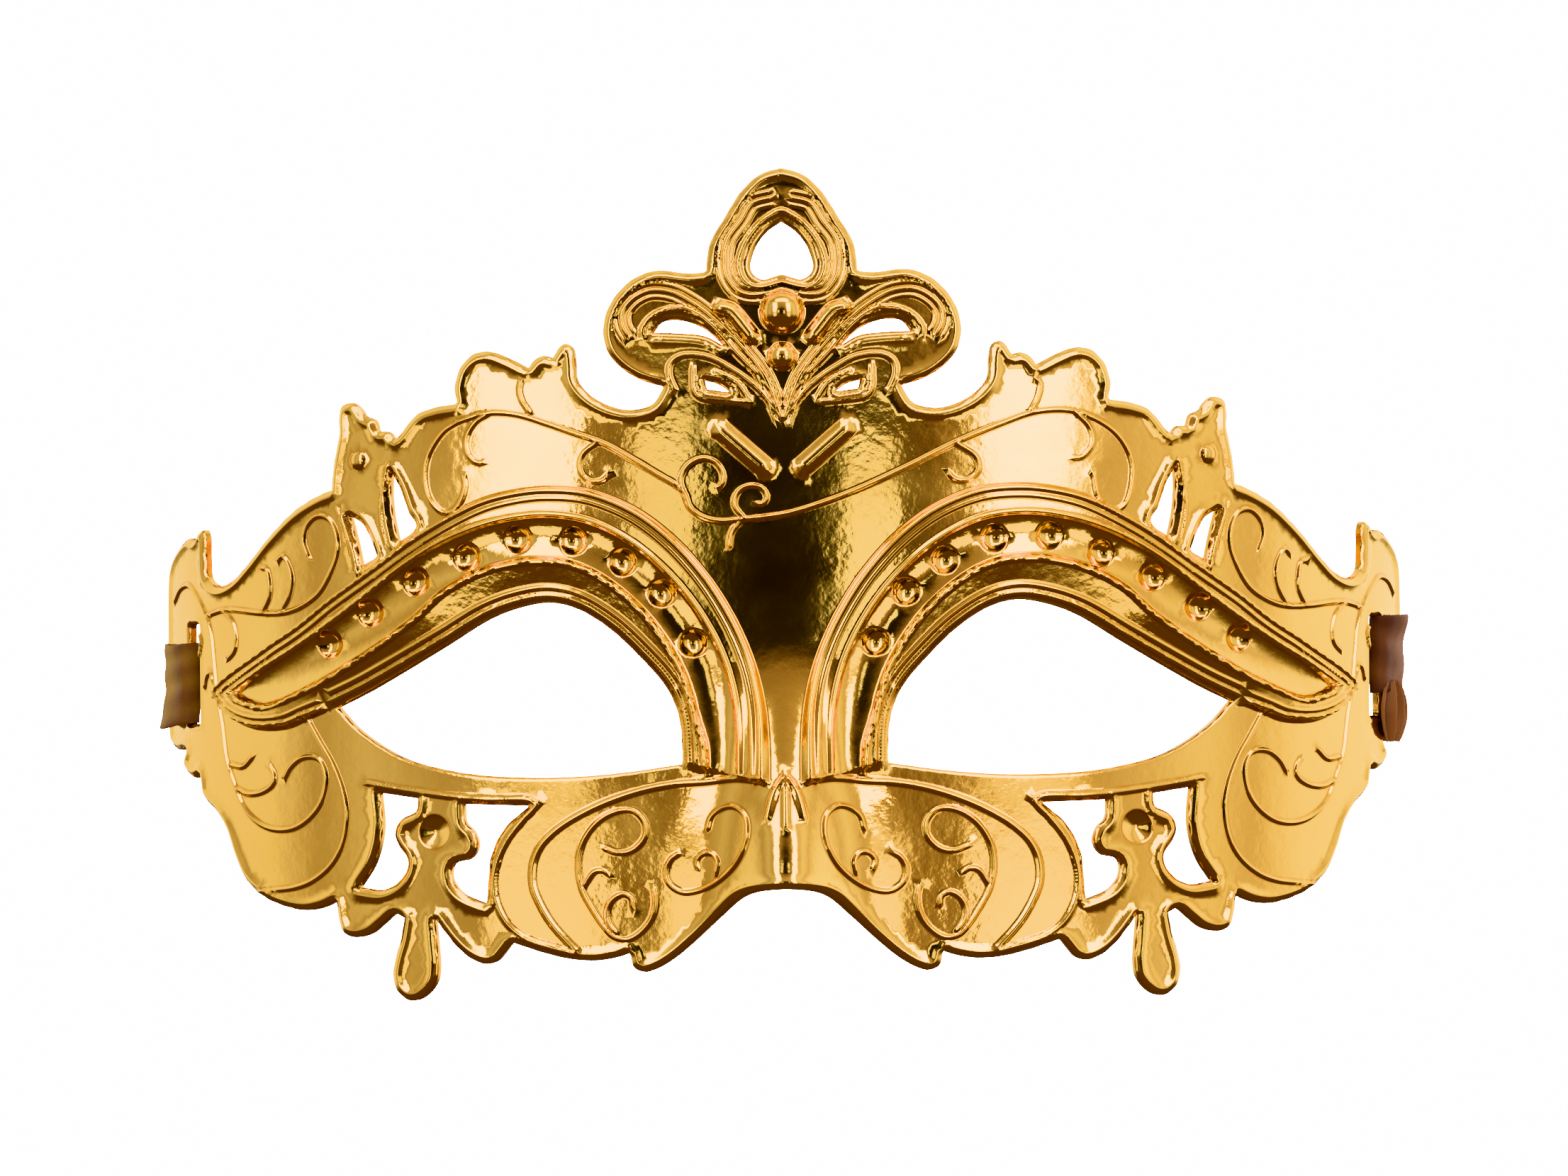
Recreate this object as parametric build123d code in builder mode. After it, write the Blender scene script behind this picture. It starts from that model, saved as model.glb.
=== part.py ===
import os
from math import acos, asin, cos, degrees, radians, sin

from build123d import *

# A one-piece moulded half mask with a satin ribbon tied through a slot at each wing end.
# X runs across the face, -Y is the front, +Z is up. The origin is on the inner face of the
# wall, where the mask sits on the bridge of the nose, level with the eyes.

# Wall: half an ellipse in plan, from one wing end to the other
half_width = 84.4
half_depth = 61.0
mask_height = 113.0
wall = 1.2
wrap_angle = 81.0
wing_end_depth = 51.8
sweep_back = 420.0
flat_height = 12.0

# Raised work on the front
relief = 1.0
bead_sink = 0.4

# Nose
nose_height = 9.0
nose_width = 9.0
nose_start = 10.0
nose_length = 36.0

# Ribbon slot in each wing end, placed by its angle round the plan curve
slot_angle = 70.8
slot_width = 3.2
slot_height = 13.6
slot_middle = 3.4

# Ribbons: a loop round the bar outside each slot, a knot behind it and a folded tail.
# The ribbon is narrower than its slot by the slack, and lies near one end of it.
ribbon_slack = 2.6
ribbon_end_gap = 0.4
ribbon_width = slot_height - ribbon_slack
left_ribbon_middle = slot_middle - slot_height / 2 + ribbon_end_gap + ribbon_width / 2
right_ribbon_middle = slot_middle + slot_height / 2 - ribbon_end_gap - ribbon_width / 2
ribbon_thickness = 0.5
ribbon_gap = 0.3
knot_height = 7.0
knot_width = 4.0
knot_thickness = 2.4
fold_height = 6.0
fold_width = 6.0
fold_thickness = 2.4
tail_clearance = 0.6
tail_thickness = 6.0
tail_length = 23.0
tail_end_angle = 52.0

# The outlines below are drawn for a mask of this half width, depth and height
drawn_half_width = 84.4
drawn_half_depth = 61.0
drawn_height = 113.0
across = half_width / drawn_half_width
back = half_depth / drawn_half_depth
up = mask_height / drawn_height
bottom_edge, top_edge = -46.0 * up, 76.0 * up
cut_reach = 2 * half_width
front = Vector(0, -1, 0)
os.makedirs("parts", exist_ok=True)


def smooth(share):
    share = min(max(share, 0.0), 1.0)
    return share * share * (3 - 2 * share)


def bridge(x, z):
    """How far the nose stands out of the plan curve."""
    return nose_height * smooth((nose_start - z) / nose_length) / (1 + (x / nose_width) ** 2) ** 2


def inner_point(angle, z):
    """A point of the inner face at an angle round the plan curve, in degrees."""
    x = half_width * sin(radians(angle))
    curve = half_depth * (1 - cos(radians(angle)))
    lean = max(abs(z) - flat_height, 0.0) ** 2 / (2 * sweep_back)
    return Vector(x, curve + lean - bridge(x, z) + bridge(0, 0), z)


def inner_point_at(x, z):
    """A point of the inner face by its distance from the middle."""
    return inner_point(degrees(asin(x / half_width)), z)


def wall_plane(x, z):
    """A plane on the inner face of the wall, with its z direction out of the front."""
    step = 0.2
    place = inner_point_at(x, z)
    sideways = inner_point_at(x + step, z) - inner_point_at(x - step, z)
    upwards = inner_point_at(x, z + step) - inner_point_at(x, z - step)
    return Plane(place, x_dir=sideways.normalized(), z_dir=sideways.cross(upwards).normalized())


def plan_plane(side, angle, z=0.0):
    """A level plane on the inner face of a wing: local x runs along the wall to the wing end."""
    along = (inner_point(side * (angle + 0.5), 0) - inner_point(side * (angle - 0.5), 0)).normalized()
    return Plane(inner_point(side * angle, 0) + Vector(0, 0, z), x_dir=along, z_dir=(0, 0, 1))


def outline(*runs, side=1):
    """Smooth runs of points that meet at corners, as distance from the middle and height."""
    for run in runs:
        points = [(side * x * across, z * up) for x, z in run]
        if len(points) == 2:
            Line(*points)
        else:
            Spline(*points)


# Half of the front outline, from the crest down the wing and back to the nose
crest = [(0, 71.8), (2.9, 70.9), (5.4, 68.7), (7.8, 65.0), (9.7, 61.8), (10.2, 59.5), (10.3, 57.7)]
crest_lobe = [(10.3, 57.7), (12.5, 57.5), (17.3, 57.9), (20.6, 56.6), (23.1, 54.0), (24.2, 51.5),
              (24.4, 49.0), (23.6, 46.5), (21.6, 44.4), (19.2, 43.0), (16.2, 42.1)]
bay = [(16.2, 42.1), (17.7, 39.8), (20.7, 39.0), (23.7, 39.6), (26.5, 41.2), (28.0, 43.1), (28.2, 45.6),
       (28.6, 47.5), (29.6, 48.1), (30.6, 47.4), (31.3, 46.2)]
small_lobe = [(31.3, 46.2), (32.5, 46.5), (33.7, 46.0), (34.7, 44.8)]
big_scallop = [(34.7, 44.8), (37.2, 46.1), (39.9, 47.1), (42.1, 46.8), (43.9, 45.1), (44.8, 42.3), (44.5, 40.0)]
scallop = [(44.5, 40.0), (47.3, 39.6), (50.0, 38.6), (52.0, 36.3), (53.0, 35.2)]
finial_foot = [(53.0, 35.2), (53.9, 36.3), (55.3, 36.3)]
finial_step = [(55.3, 36.3), (55.8, 37.9), (57.1, 38.4)]
finial = [(57.1, 38.4), (57.8, 39.5), (58.9, 40.3), (60.4, 39.7), (60.7, 38.2), (60.7, 35.9),
          (61.2, 33.4), (61.6, 30.9), (61.8, 28.4)]
wing_top = [(61.8, 28.4), (63.4, 27.8), (66.9, 25.7), (70.6, 22.0), (73.4, 18.5), (75.7, 16.1),
            (77.6, 15.4), (78.9, 16.3), (79.2, 19.0)]
past_the_end = [[(79.2, 19.0), (79.2, 60.0)], [(79.2, 60.0), (120.0, 60.0)], [(120.0, 60.0), (120.0, -60.0)],
                [(120.0, -60.0), (80.6, -60.0)], [(80.6, -60.0), (80.6, -13.2)]]
wing_bottom = [(80.6, -13.2), (79.2, -14.1), (77.9, -15.5), (76.6, -17.8), (75.4, -21.5), (73.9, -24.8),
               (71.6, -27.0), (68.1, -28.5), (65.4, -28.9), (63.1, -28.4), (61.5, -27.6)]
outer_petal = [(61.5, -27.6), (61.1, -30.5), (60.4, -32.1), (58.8, -32.6), (56.8, -32.1), (55.0, -30.7),
               (53.3, -29.4), (52.2, -30.0)]
middle_petal = [(52.2, -30.0), (52.7, -32.8), (53.5, -35.6), (53.8, -37.9), (53.3, -39.8), (51.9, -41.1),
                (50.5, -41.2), (49.0, -40.3), (47.8, -38.6), (47.5, -36.6), (47.7, -33.6), (48.0, -30.0)]
inner_petal = [(48.0, -30.0), (47.0, -31.4), (45.3, -33.6), (43.3, -35.4), (41.1, -36.3), (39.5, -35.9),
               (38.3, -34.6), (37.4, -33.4)]
nose_lobe = [(37.4, -33.4), (32.8, -34.9), (29.3, -35.7), (25.8, -35.9), (22.8, -35.4), (21.4, -34.9)]
nose_flap = [(21.4, -34.9), (20.8, -36.9), (19.3, -37.5), (17.6, -37.0), (15.3, -35.6), (12.3, -33.0),
             (9.3, -30.0), (6.6, -27.5), (4.6, -26.7), (0, -26.3)]
front_outline = [crest, crest_lobe, bay, small_lobe, big_scallop, scallop, finial_foot, finial_step, finial,
                 wing_top, *past_the_end, wing_bottom, outer_petal, middle_petal, inner_petal, nose_lobe, nose_flap]

# The wing end turns away from the front, so its outline is drawn from the side, as depth and height
end = wing_end_depth
wing_end = [[(36.0, 19.0), (38.2, 19.0)],
            [(38.2, 19.0), (38.7, 21.6), (39.7, 23.1), (41.0, 22.7), (41.9, 21.7)],
            [(41.9, 21.7), (44.0, 22.0), (46.6, 21.0), (end - 2.3, 19.2), (end - 0.6, 17.0), (end, 12.0)],
            [(end, 12.0), (end, -3.0)],
            [(end, -3.0), (end - 0.8, -5.9), (48.6, -6.9), (44.6, -6.9)],
            [(44.6, -6.9), (45.6, -8.0), (45.5, -9.4), (44.0, -10.4), (42.0, -10.8), (40.8, -10.4)],
            [(40.8, -10.4), (40.0, -14.0)], [(40.0, -14.0), (36.0, -60.0)], [(36.0, -60.0), (-40.0, -60.0)],
            [(-40.0, -60.0), (-40.0, 90.0)], [(-40.0, 90.0), (36.0, 90.0)], [(36.0, 90.0), (36.0, 19.0)]]

# Openings
eye = [[(61.1, -1.2), (58.1, -4.4), (52.1, -8.2), (46.0, -9.9), (40.0, -10.7), (30.1, -10.9), (21.9, -10.3),
        (14.0, -9.2)],
       [(14.0, -9.2), (14.4, -3.1), (16.0, 1.0), (20.0, 5.7), (24.0, 9.4), (28.3, 12.0), (32.0, 12.8),
        (36.0, 12.2), (40.1, 10.7), (46.1, 7.1), (52.2, 3.5), (57.0, 0.8), (61.1, -1.2)]]
heart = [[(0, 64.5), (1.9, 63.2), (3.3, 61.5), (4.0, 59.8), (4.3, 58.4), (3.8, 57.2), (2.6, 56.6), (1.3, 56.9),
          (0, 57.3)]]
crescent = [[(17.6, 49.5), (16.4, 50.9), (14.8, 51.2), (12.8, 50.9), (10.4, 49.8), (8.0, 47.6)],
            [(8.0, 47.6), (10.4, 48.9), (13.2, 49.3), (17.6, 49.5)]]
chink = [[(10.6, 42.9), (8.8, 42.4), (7.2, 41.3)], [(7.2, 41.3), (10.4, 41.7)], [(10.4, 41.7), (10.6, 42.9)]]
finial_gap = [[(53.5, 30.8), (52.2, 28.2), (51.2, 25.3), (50.2, 23.3), (52.6, 21.2)],
              [(52.6, 21.2), (53.3, 24.5), (53.6, 27.8), (53.5, 30.8)]]
wing_gap = [[(59.3, 24.9), (57.6, 23.8), (56.3, 21.4), (55.6, 19.3)], [(55.6, 19.3), (57.7, 18.0)],
            [(57.7, 18.0), (58.4, 21.4), (59.3, 24.9)]]
cheek_gap = [[(55.4, -12.9), (50.2, -13.7)],
             [(50.2, -13.7), (50.5, -15.4), (52.6, -16.6), (53.4, -18.6), (52.8, -20.2), (51.6, -22.3),
              (52.6, -24.7), (55.0, -26.1), (58.3, -25.8)],
             [(58.3, -25.8), (56.2, -22.4), (55.1, -17.9), (55.4, -12.9)]]
nose_gap = [[(43.9, -14.5), (35.0, -14.8)],
            [(35.0, -14.8), (38.2, -17.6), (40.2, -21.4), (40.7, -25.6), (40.9, -28.1)],
            [(40.9, -28.1), (44.2, -26.6), (45.6, -24.6), (45.3, -22.6), (43.0, -21.9), (42.0, -20.2),
             (42.6, -18.2), (43.7, -17.0), (43.9, -14.5)]]
openings = [eye, crescent, chink, finial_gap, wing_gap, cheek_gap, nose_gap]

# Raised work of the moulding
brow_band = [[(2.7, -11.3), (2.7, -4.0), (3.4, 3.0), (6.6, 11.0), (12.0, 18.6), (20.0, 25.0), (31.0, 28.2),
              (40.3, 27.0), (50.3, 21.8), (61.4, 13.4), (70.4, 6.7), (77.0, 1.9)],
             [(77.0, 1.9), (77.2, 0.2), (74.5, -2.8), (70.5, -3.9), (65.5, -3.0), (57.5, -0.6)],
             [(57.5, -0.6), (48.0, -1.0), (36.0, -2.0), (17.0, -7.0)], [(17.0, -7.0), (2.7, -11.3)]]
leaf_drop = [[(9.0, 52.6), (8.2, 53.8), (6.8, 53.8), (4.9, 51.5), (3.2, 48.4), (3.8, 48.0), (5.2, 48.8),
              (7.2, 50.8), (9.0, 52.6)]]
lower_drop = [[(9.3, 35.8), (9.0, 37.2), (7.6, 37.4), (4.2, 34.2), (1.4, 31.8), (1.3, 30.3), (2.9, 30.0),
               (6.2, 32.8), (9.3, 35.8)]]
raised_shapes = [brow_band, leaf_drop, lower_drop]

# Beads, as x, z and radius
beads = [(0, 52.2, 3.0), (0, 46.1, 1.9), (-47.9, -18.6, 2.4), (47.9, -18.6, 2.4), (-58.0, 32.0, 1.2), (58.0, 32.0, 1.2)]

face_steps = 60
height_steps = 30
rows = []
for step in range(face_steps + 1):
    angle = wrap_angle * (2 * step / face_steps - 1)
    rise = (top_edge - bottom_edge) / height_steps
    rows.append([inner_point(angle, bottom_edge + rise * level) for level in range(height_steps + 1)])
inner_face = Face.make_surface_from_array_of_points(rows, tol=0.01)

with BuildSketch(Plane.XZ) as pierced:
    for side in (-1, 1):
        for shape in openings:
            with BuildLine():
                outline(*shape, side=side)
            make_face()
    with BuildLine():
        outline(*heart)
        mirror(about=Plane.YZ)
    make_face()

with BuildPart() as raised_work:
    thicken(inner_face, amount=wall + relief, normal_override=front)
    with BuildSketch(Plane.XZ):
        for side in (-1, 1):
            for shape in raised_shapes:
                with BuildLine():
                    outline(*shape, side=side)
                make_face()
        add(pierced.sketch_local, mode=Mode.SUBTRACT)
    extrude(amount=cut_reach, both=True, mode=Mode.INTERSECT)

bead_parts = []
for x, z, radius in beads:
    with BuildPart() as bead:
        Sphere(radius, rotation=(90, 0, 0))
        split(bisect_by=Plane.XY.offset(-wall / 2), keep=Keep.TOP)
    bead_parts.append((x, z, bead))

with BuildPart() as mask_shell:
    thicken(inner_face, amount=wall, normal_override=front)
    with BuildSketch(Plane.XZ):
        with BuildLine():
            outline(*front_outline)
            mirror(about=Plane.YZ)
        make_face()
        add(pierced.sketch_local, mode=Mode.SUBTRACT)
    extrude(amount=cut_reach, both=True, mode=Mode.INTERSECT)
    with BuildSketch(Plane.YZ):
        with BuildLine():
            for run in wing_end:
                points = [(y * back, z * up) for y, z in run]
                if len(points) == 2:
                    Line(*points)
                else:
                    Spline(*points)
        make_face()
    extrude(amount=cut_reach, both=True, mode=Mode.INTERSECT)
    for side in (-1, 1):
        with BuildSketch(plan_plane(side, slot_angle, slot_middle - slot_height / 2)):
            Rectangle(slot_width, 4 * wall)
        extrude(amount=slot_height, mode=Mode.SUBTRACT)
    add(raised_work.part)
    for x, z, bead in bead_parts:
        with Locations(wall_plane(x * across, z * up).offset(wall - bead_sink)):
            add(bead.part)
mask_shell.part.label = "mask_shell"
export_step(mask_shell.part, "parts/mask_shell.step")

# The bar that each ribbon goes round lies between its slot and the wing end
end_angle = degrees(acos(1 - (wing_end_depth * back - bridge(0, 0)) / half_depth))
bar_angle = (slot_angle + end_angle) / 2
bar_width = (inner_point(end_angle, 0) - inner_point(slot_angle, 0)).length - slot_width / 2 + wall / 4
loop_inside = (bar_width + 2 * ribbon_gap, wall + 2 * ribbon_gap)
loop_outside = (loop_inside[0] + 2 * ribbon_thickness, loop_inside[1] + 2 * ribbon_thickness)
bar_shift = slot_width / 4 + wall / 8

for side, name, middle in ((-1, "left", left_ribbon_middle), (1, "right", right_ribbon_middle)):
    low = middle - ribbon_width / 2
    outwards = -side * (wall / 2)
    with BuildPart() as ribbon_loop:
        with BuildSketch(plan_plane(side, bar_angle, low)):
            with Locations((bar_shift, outwards)):
                RectangleRounded(*loop_outside, radius=ribbon_gap + ribbon_thickness)
                Rectangle(*loop_inside, mode=Mode.SUBTRACT)
        extrude(amount=ribbon_width)
    ribbon_loop.part.label = f"{name}_ribbon_loop"
    export_step(ribbon_loop.part, f"parts/{name}_ribbon_loop.step")

    behind = ribbon_gap + ribbon_thickness
    with BuildPart() as ribbon_knot:
        with BuildSketch(plan_plane(side, bar_angle, middle - knot_height / 2)):
            with Locations((bar_shift, side * (behind + knot_thickness / 2))):
                Rectangle(knot_width, knot_thickness)
        extrude(amount=knot_height)
        fillet(ribbon_knot.edges().filter_by(Axis.Z), radius=knot_thickness / 4)
    ribbon_knot.part.label = f"{name}_ribbon_knot"
    export_step(ribbon_knot.part, f"parts/{name}_ribbon_knot.step")

    knot_plane = plan_plane(side, bar_angle, low)
    tail_middle = behind + knot_thickness + tail_clearance + tail_thickness / 2
    pivot = knot_plane.from_local_coords((bar_shift, side * tail_middle))
    tip_plane = plan_plane(side, tail_end_angle, low)
    tip = tip_plane.from_local_coords((0, side * (tail_clearance + tail_thickness / 2)))
    run = Vector(tip.X - pivot.X, tip.Y - pivot.Y, 0).normalized()
    with BuildPart() as ribbon_tail:
        with BuildSketch(Plane(pivot + run * (tail_length - tail_thickness) / 2, x_dir=run, z_dir=(0, 0, 1))):
            SlotOverall(tail_length, tail_thickness)
        extrude(amount=ribbon_width)
    ribbon_tail.part.label = f"{name}_ribbon_tail"
    export_step(ribbon_tail.part, f"parts/{name}_ribbon_tail.step")
    print(f"{name} tail turns about x {pivot.X:.4f}, y {pivot.Y:.4f}, middle z {middle:.2f}")

# The right ribbon is gathered into a fold on the front, under its loop
with BuildPart() as ribbon_fold:
    with BuildSketch(plan_plane(1, bar_angle, right_ribbon_middle - ribbon_width / 2 - fold_height)):
        with Locations((bar_shift, -(wall + ribbon_gap + fold_thickness / 2))):
            Rectangle(fold_width, fold_thickness)
    extrude(amount=fold_height)
    fillet(ribbon_fold.edges().filter_by(Axis.Z), radius=fold_thickness / 4)
ribbon_fold.part.label = "right_ribbon_fold"
export_step(ribbon_fold.part, "parts/right_ribbon_fold.step")
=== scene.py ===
import math

import bmesh
import bpy
import numpy as np
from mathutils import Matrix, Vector, geometry, kdtree


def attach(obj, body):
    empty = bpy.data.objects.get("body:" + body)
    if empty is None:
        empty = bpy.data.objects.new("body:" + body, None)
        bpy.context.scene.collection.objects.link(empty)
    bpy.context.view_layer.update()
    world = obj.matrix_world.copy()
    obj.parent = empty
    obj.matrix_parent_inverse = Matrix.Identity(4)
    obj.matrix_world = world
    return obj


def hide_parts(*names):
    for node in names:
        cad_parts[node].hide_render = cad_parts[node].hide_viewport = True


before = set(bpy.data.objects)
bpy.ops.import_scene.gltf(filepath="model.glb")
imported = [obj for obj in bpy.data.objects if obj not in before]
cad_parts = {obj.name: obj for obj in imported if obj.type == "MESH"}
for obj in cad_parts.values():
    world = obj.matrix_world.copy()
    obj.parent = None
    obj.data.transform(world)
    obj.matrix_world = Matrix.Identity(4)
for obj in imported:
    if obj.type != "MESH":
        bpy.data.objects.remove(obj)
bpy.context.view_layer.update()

mm = 0.001
lineSpacing = 0.08     # millimetres between the samples of a drawn line


def addObject(name, data):
    made = bpy.data.objects.new(name, data)
    bpy.context.scene.collection.objects.link(made)
    return made


# Camera straight in front through a long lens, rolled a little
camera = {"distance": 6.0, "height": 0.0146, "seenWidth": 0.2130, "sensor": 36.0, "roll": 0.42,
          "clipEnd": 20.0}
cameraData = bpy.data.cameras.new("camera")
cameraData.sensor_width = camera["sensor"]
cameraData.lens = camera["sensor"] * camera["distance"] / camera["seenWidth"]
cameraData.clip_end = camera["clipEnd"]
cameraObject = addObject("camera", cameraData)
cameraObject.location = (0, -camera["distance"], camera["height"])
cameraObject.rotation_euler = (math.pi / 2, math.radians(camera["roll"]), 0)
bpy.context.scene.camera = cameraObject
bpy.context.scene.view_settings.view_transform = "Khronos PBR Neutral"
print("camera ready")

# The wall is half an ellipse in plan that leans back above and below, with a nose. Millimetres.
wall = {"halfWidth": 84.4, "halfDepth": 61.0, "thickness": 1.2, "sweepBack": 420.0, "flatHeight": 12.0,
        "noseHeight": 9.0, "noseWidth": 9.0, "noseStart": 10.0, "noseLength": 36.0}


def smooth(share):
    share = np.clip(share, 0.0, 1.0)
    return share * share * (3 - 2 * share)


def bridge(x, z):
    rise = wall["noseHeight"] * smooth((wall["noseStart"] - z) / wall["noseLength"])
    return rise / (1 + (x / wall["noseWidth"]) ** 2) ** 2


def innerPoint(angle, z):
    x = wall["halfWidth"] * np.sin(angle)
    lean = np.maximum(np.abs(z) - wall["flatHeight"], 0.0) ** 2 / (2 * wall["sweepBack"])
    y = wall["halfDepth"] * (1 - np.cos(angle)) + lean - bridge(x, z) + bridge(0.0, 0.0)
    return np.stack([x, y, z + 0.0 * x], axis=-1)


def wallNormal(angle, z):
    sideways = innerPoint(angle + 0.002, z) - innerPoint(angle - 0.002, z)
    upwards = innerPoint(angle, z + 0.1) - innerPoint(angle, z - 0.1)
    out = np.cross(sideways, upwards)
    return out / np.linalg.norm(out, axis=-1, keepdims=True)


# Unrolled: the distance round the plan curve from the middle of the mask
planAngles = np.linspace(-1.5, 1.5, 6001)
planPoints = innerPoint(planAngles, np.full(6001, 60.0))
planRun = np.concatenate([[0.0], np.cumsum(np.linalg.norm(np.diff(planPoints, axis=0), axis=1))])
planRun -= np.interp(0.0, planAngles, planRun)


def unrolled(angle):
    return np.interp(angle, planAngles, planRun)


def wallPoint(run, z, rise):
    angle = np.interp(run, planRun, planAngles)
    return innerPoint(angle, z) + wallNormal(angle, z) * np.asarray(rise)[..., None]


# Points drawn from the front, as distance from the middle and height, laid on the outer face
def fromFront(points):
    points = np.asarray(points, float)
    x, z = points[:, 0].copy(), points[:, 1].copy()
    for again in range(6):
        angle = np.arcsin(np.clip(x / wall["halfWidth"], -0.999, 0.999))
        out = wallNormal(angle, z) * wall["thickness"]
        x, z = points[:, 0] - out[:, 0], points[:, 1] - out[:, 2]
    return np.stack([unrolled(np.arcsin(np.clip(x / wall["halfWidth"], -0.999, 0.999))), z], axis=1)


# Points drawn from the side, as depth and height, laid on the outer face of the right wing
def fromSide(points):
    points = np.asarray(points, float)
    y, z = points[:, 0].copy(), points[:, 1].copy()
    for again in range(6):
        angle = np.arccos(np.clip(1 - (y - bridge(0.0, 0.0)) / wall["halfDepth"], -0.99, 0.99))
        out = wallNormal(angle, z) * wall["thickness"]
        y, z = points[:, 0] - out[:, 1], points[:, 1] - out[:, 2]
    return np.stack([unrolled(angle), z], axis=1)


# A smooth curve through given points, as evenly spaced samples
def curveThrough(points, spacing=lineSpacing):
    points = np.asarray(points, float)
    if len(points) > 2:
        steps = np.linalg.norm(np.diff(points, axis=0), axis=1) ** 0.5
        knots = np.concatenate([[0.0], np.cumsum(steps)])
        slopes = np.gradient(points, knots, axis=0)
        fine = []
        for i in range(len(points) - 1):
            span = knots[i + 1] - knots[i]
            t = np.linspace(0, 1, 40, endpoint=False)[:, None]
            fine.append((2 * t**3 - 3 * t**2 + 1) * points[i] + (t**3 - 2 * t**2 + t) * span * slopes[i]
                        + (3 * t**2 - 2 * t**3) * points[i + 1] + (t**3 - t**2) * span * slopes[i + 1])
        points = np.concatenate([*fine, points[-1:]])
    along = np.concatenate([[0.0], np.cumsum(np.linalg.norm(np.diff(points, axis=0), axis=1))])
    count = max(2, int(round(along[-1] / spacing)) + 1)
    even = np.linspace(0, along[-1], count)
    return np.stack([np.interp(even, along, points[:, 0]), np.interp(even, along, points[:, 1])], axis=1)


# The relief was sketched on a mask turned a little; squareUp turns it straight
sketch = {"turn": 0.0073, "shiftAtEyes": 0.62, "shiftPerHeight": -0.0105}


def squareUp(points, side=1):
    points = np.asarray(points, float)
    shift = sketch["shiftAtEyes"] + sketch["shiftPerHeight"] * points[:, 1]
    lift = side * sketch["turn"] * points[:, 0]
    return np.stack([points[:, 0] + side * shift, points[:, 1] + lift], axis=1)


def mirrored(run):
    return run * np.array([-1.0, 1.0])


# Outline of the right half: runs of points that meet at corners
outline = {
    "crest": [(0, 71.8), (2.9, 70.9), (5.4, 68.7), (7.8, 65.0), (9.7, 61.8), (10.2, 59.5), (10.3, 57.7)],
    "crestLobe": [(10.3, 57.7), (12.5, 57.5), (17.3, 57.9), (20.6, 56.6), (23.1, 54.0), (24.2, 51.5),
        (24.4, 49.0), (23.6, 46.5), (21.6, 44.4), (19.2, 43.0), (16.2, 42.1)],
    "bay": [(16.2, 42.1), (17.7, 39.8), (20.7, 39.0), (23.7, 39.6), (26.5, 41.2), (28.0, 43.1), (28.2, 45.6),
        (28.6, 47.5), (29.6, 48.1), (30.6, 47.4), (31.3, 46.2)],
    "smallLobe": [(31.3, 46.2), (32.5, 46.5), (33.7, 46.0), (34.7, 44.8)],
    "bigScallop": [(34.7, 44.8), (37.2, 46.1), (39.9, 47.1), (42.1, 46.8), (43.9, 45.1), (44.8, 42.3),
        (44.5, 40.0)],
    "scallop": [(44.5, 40.0), (47.3, 39.6), (50.0, 38.6), (52.0, 36.3), (53.0, 35.2)],
    "finialFoot": [(53.0, 35.2), (53.9, 36.3), (55.3, 36.3)],
    "finialStep": [(55.3, 36.3), (55.8, 37.9), (57.1, 38.4)],
    "finial": [(57.1, 38.4), (57.8, 39.5), (58.9, 40.3), (60.4, 39.7), (60.7, 38.2), (60.7, 35.9),
        (61.2, 33.4), (61.6, 30.9), (61.8, 28.4)],
    "wingTop": [(61.8, 28.4), (63.4, 27.8), (66.9, 25.7), (70.6, 22.0), (73.4, 18.5), (75.7, 16.1),
        (77.6, 15.4), (78.9, 16.3), (79.2, 19.0), (79.2, 22.0)],
}
outlineBelow = {
    "wingBottom": [(79.2, -14.1), (77.9, -15.5), (76.6, -17.8), (75.4, -21.5), (73.9, -24.8), (71.6, -27.0),
        (68.1, -28.5), (65.4, -28.9), (63.1, -28.4), (61.5, -27.6)],
    "outerPetal": [(61.5, -27.6), (61.1, -30.5), (60.4, -32.1), (58.8, -32.6), (56.8, -32.1), (55.0, -30.7),
        (53.3, -29.4), (52.2, -30.0)],
    "middlePetal": [(52.2, -30.0), (52.7, -32.8), (53.5, -35.6), (53.8, -37.9), (53.3, -39.8), (51.9, -41.1),
        (50.5, -41.2), (49.0, -40.3), (47.8, -38.6), (47.5, -36.6), (47.7, -33.6), (48.0, -30.0)],
    "innerPetal": [(48.0, -30.0), (47.0, -31.4), (45.3, -33.6), (43.3, -35.4), (41.1, -36.3), (39.5, -35.9),
        (38.3, -34.6), (37.4, -33.4)],
    "noseLobe": [(37.4, -33.4), (32.8, -34.9), (29.3, -35.7), (25.8, -35.9), (22.8, -35.4), (21.4, -34.9)],
    "noseFlap": [(21.4, -34.9), (20.8, -36.9), (19.3, -37.5), (17.6, -37.0), (15.3, -35.6), (12.3, -33.0),
        (9.3, -30.0), (6.6, -27.5), (4.6, -26.7), (0, -26.3)],
}
# The wing end turns away from the front, so it is drawn from the side, as depth and height
wingEnd = [[(39.2, 22.2), (39.7, 23.1), (41.0, 22.7), (41.9, 21.7)],
           [(41.9, 21.7), (44.0, 22.0), (46.6, 21.0), (49.5, 19.2), (51.2, 17.0), (51.8, 12.0)],
           [(51.8, 12.0), (51.8, -3.0)],
           [(51.8, -3.0), (51.0, -5.9), (48.6, -6.9), (44.6, -6.9)],
           [(44.6, -6.9), (45.6, -8.0), (45.5, -9.4), (44.0, -10.4), (42.0, -10.8), (40.8, -10.4)],
           [(40.8, -10.4), (40.2, -13.2)]]

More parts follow.
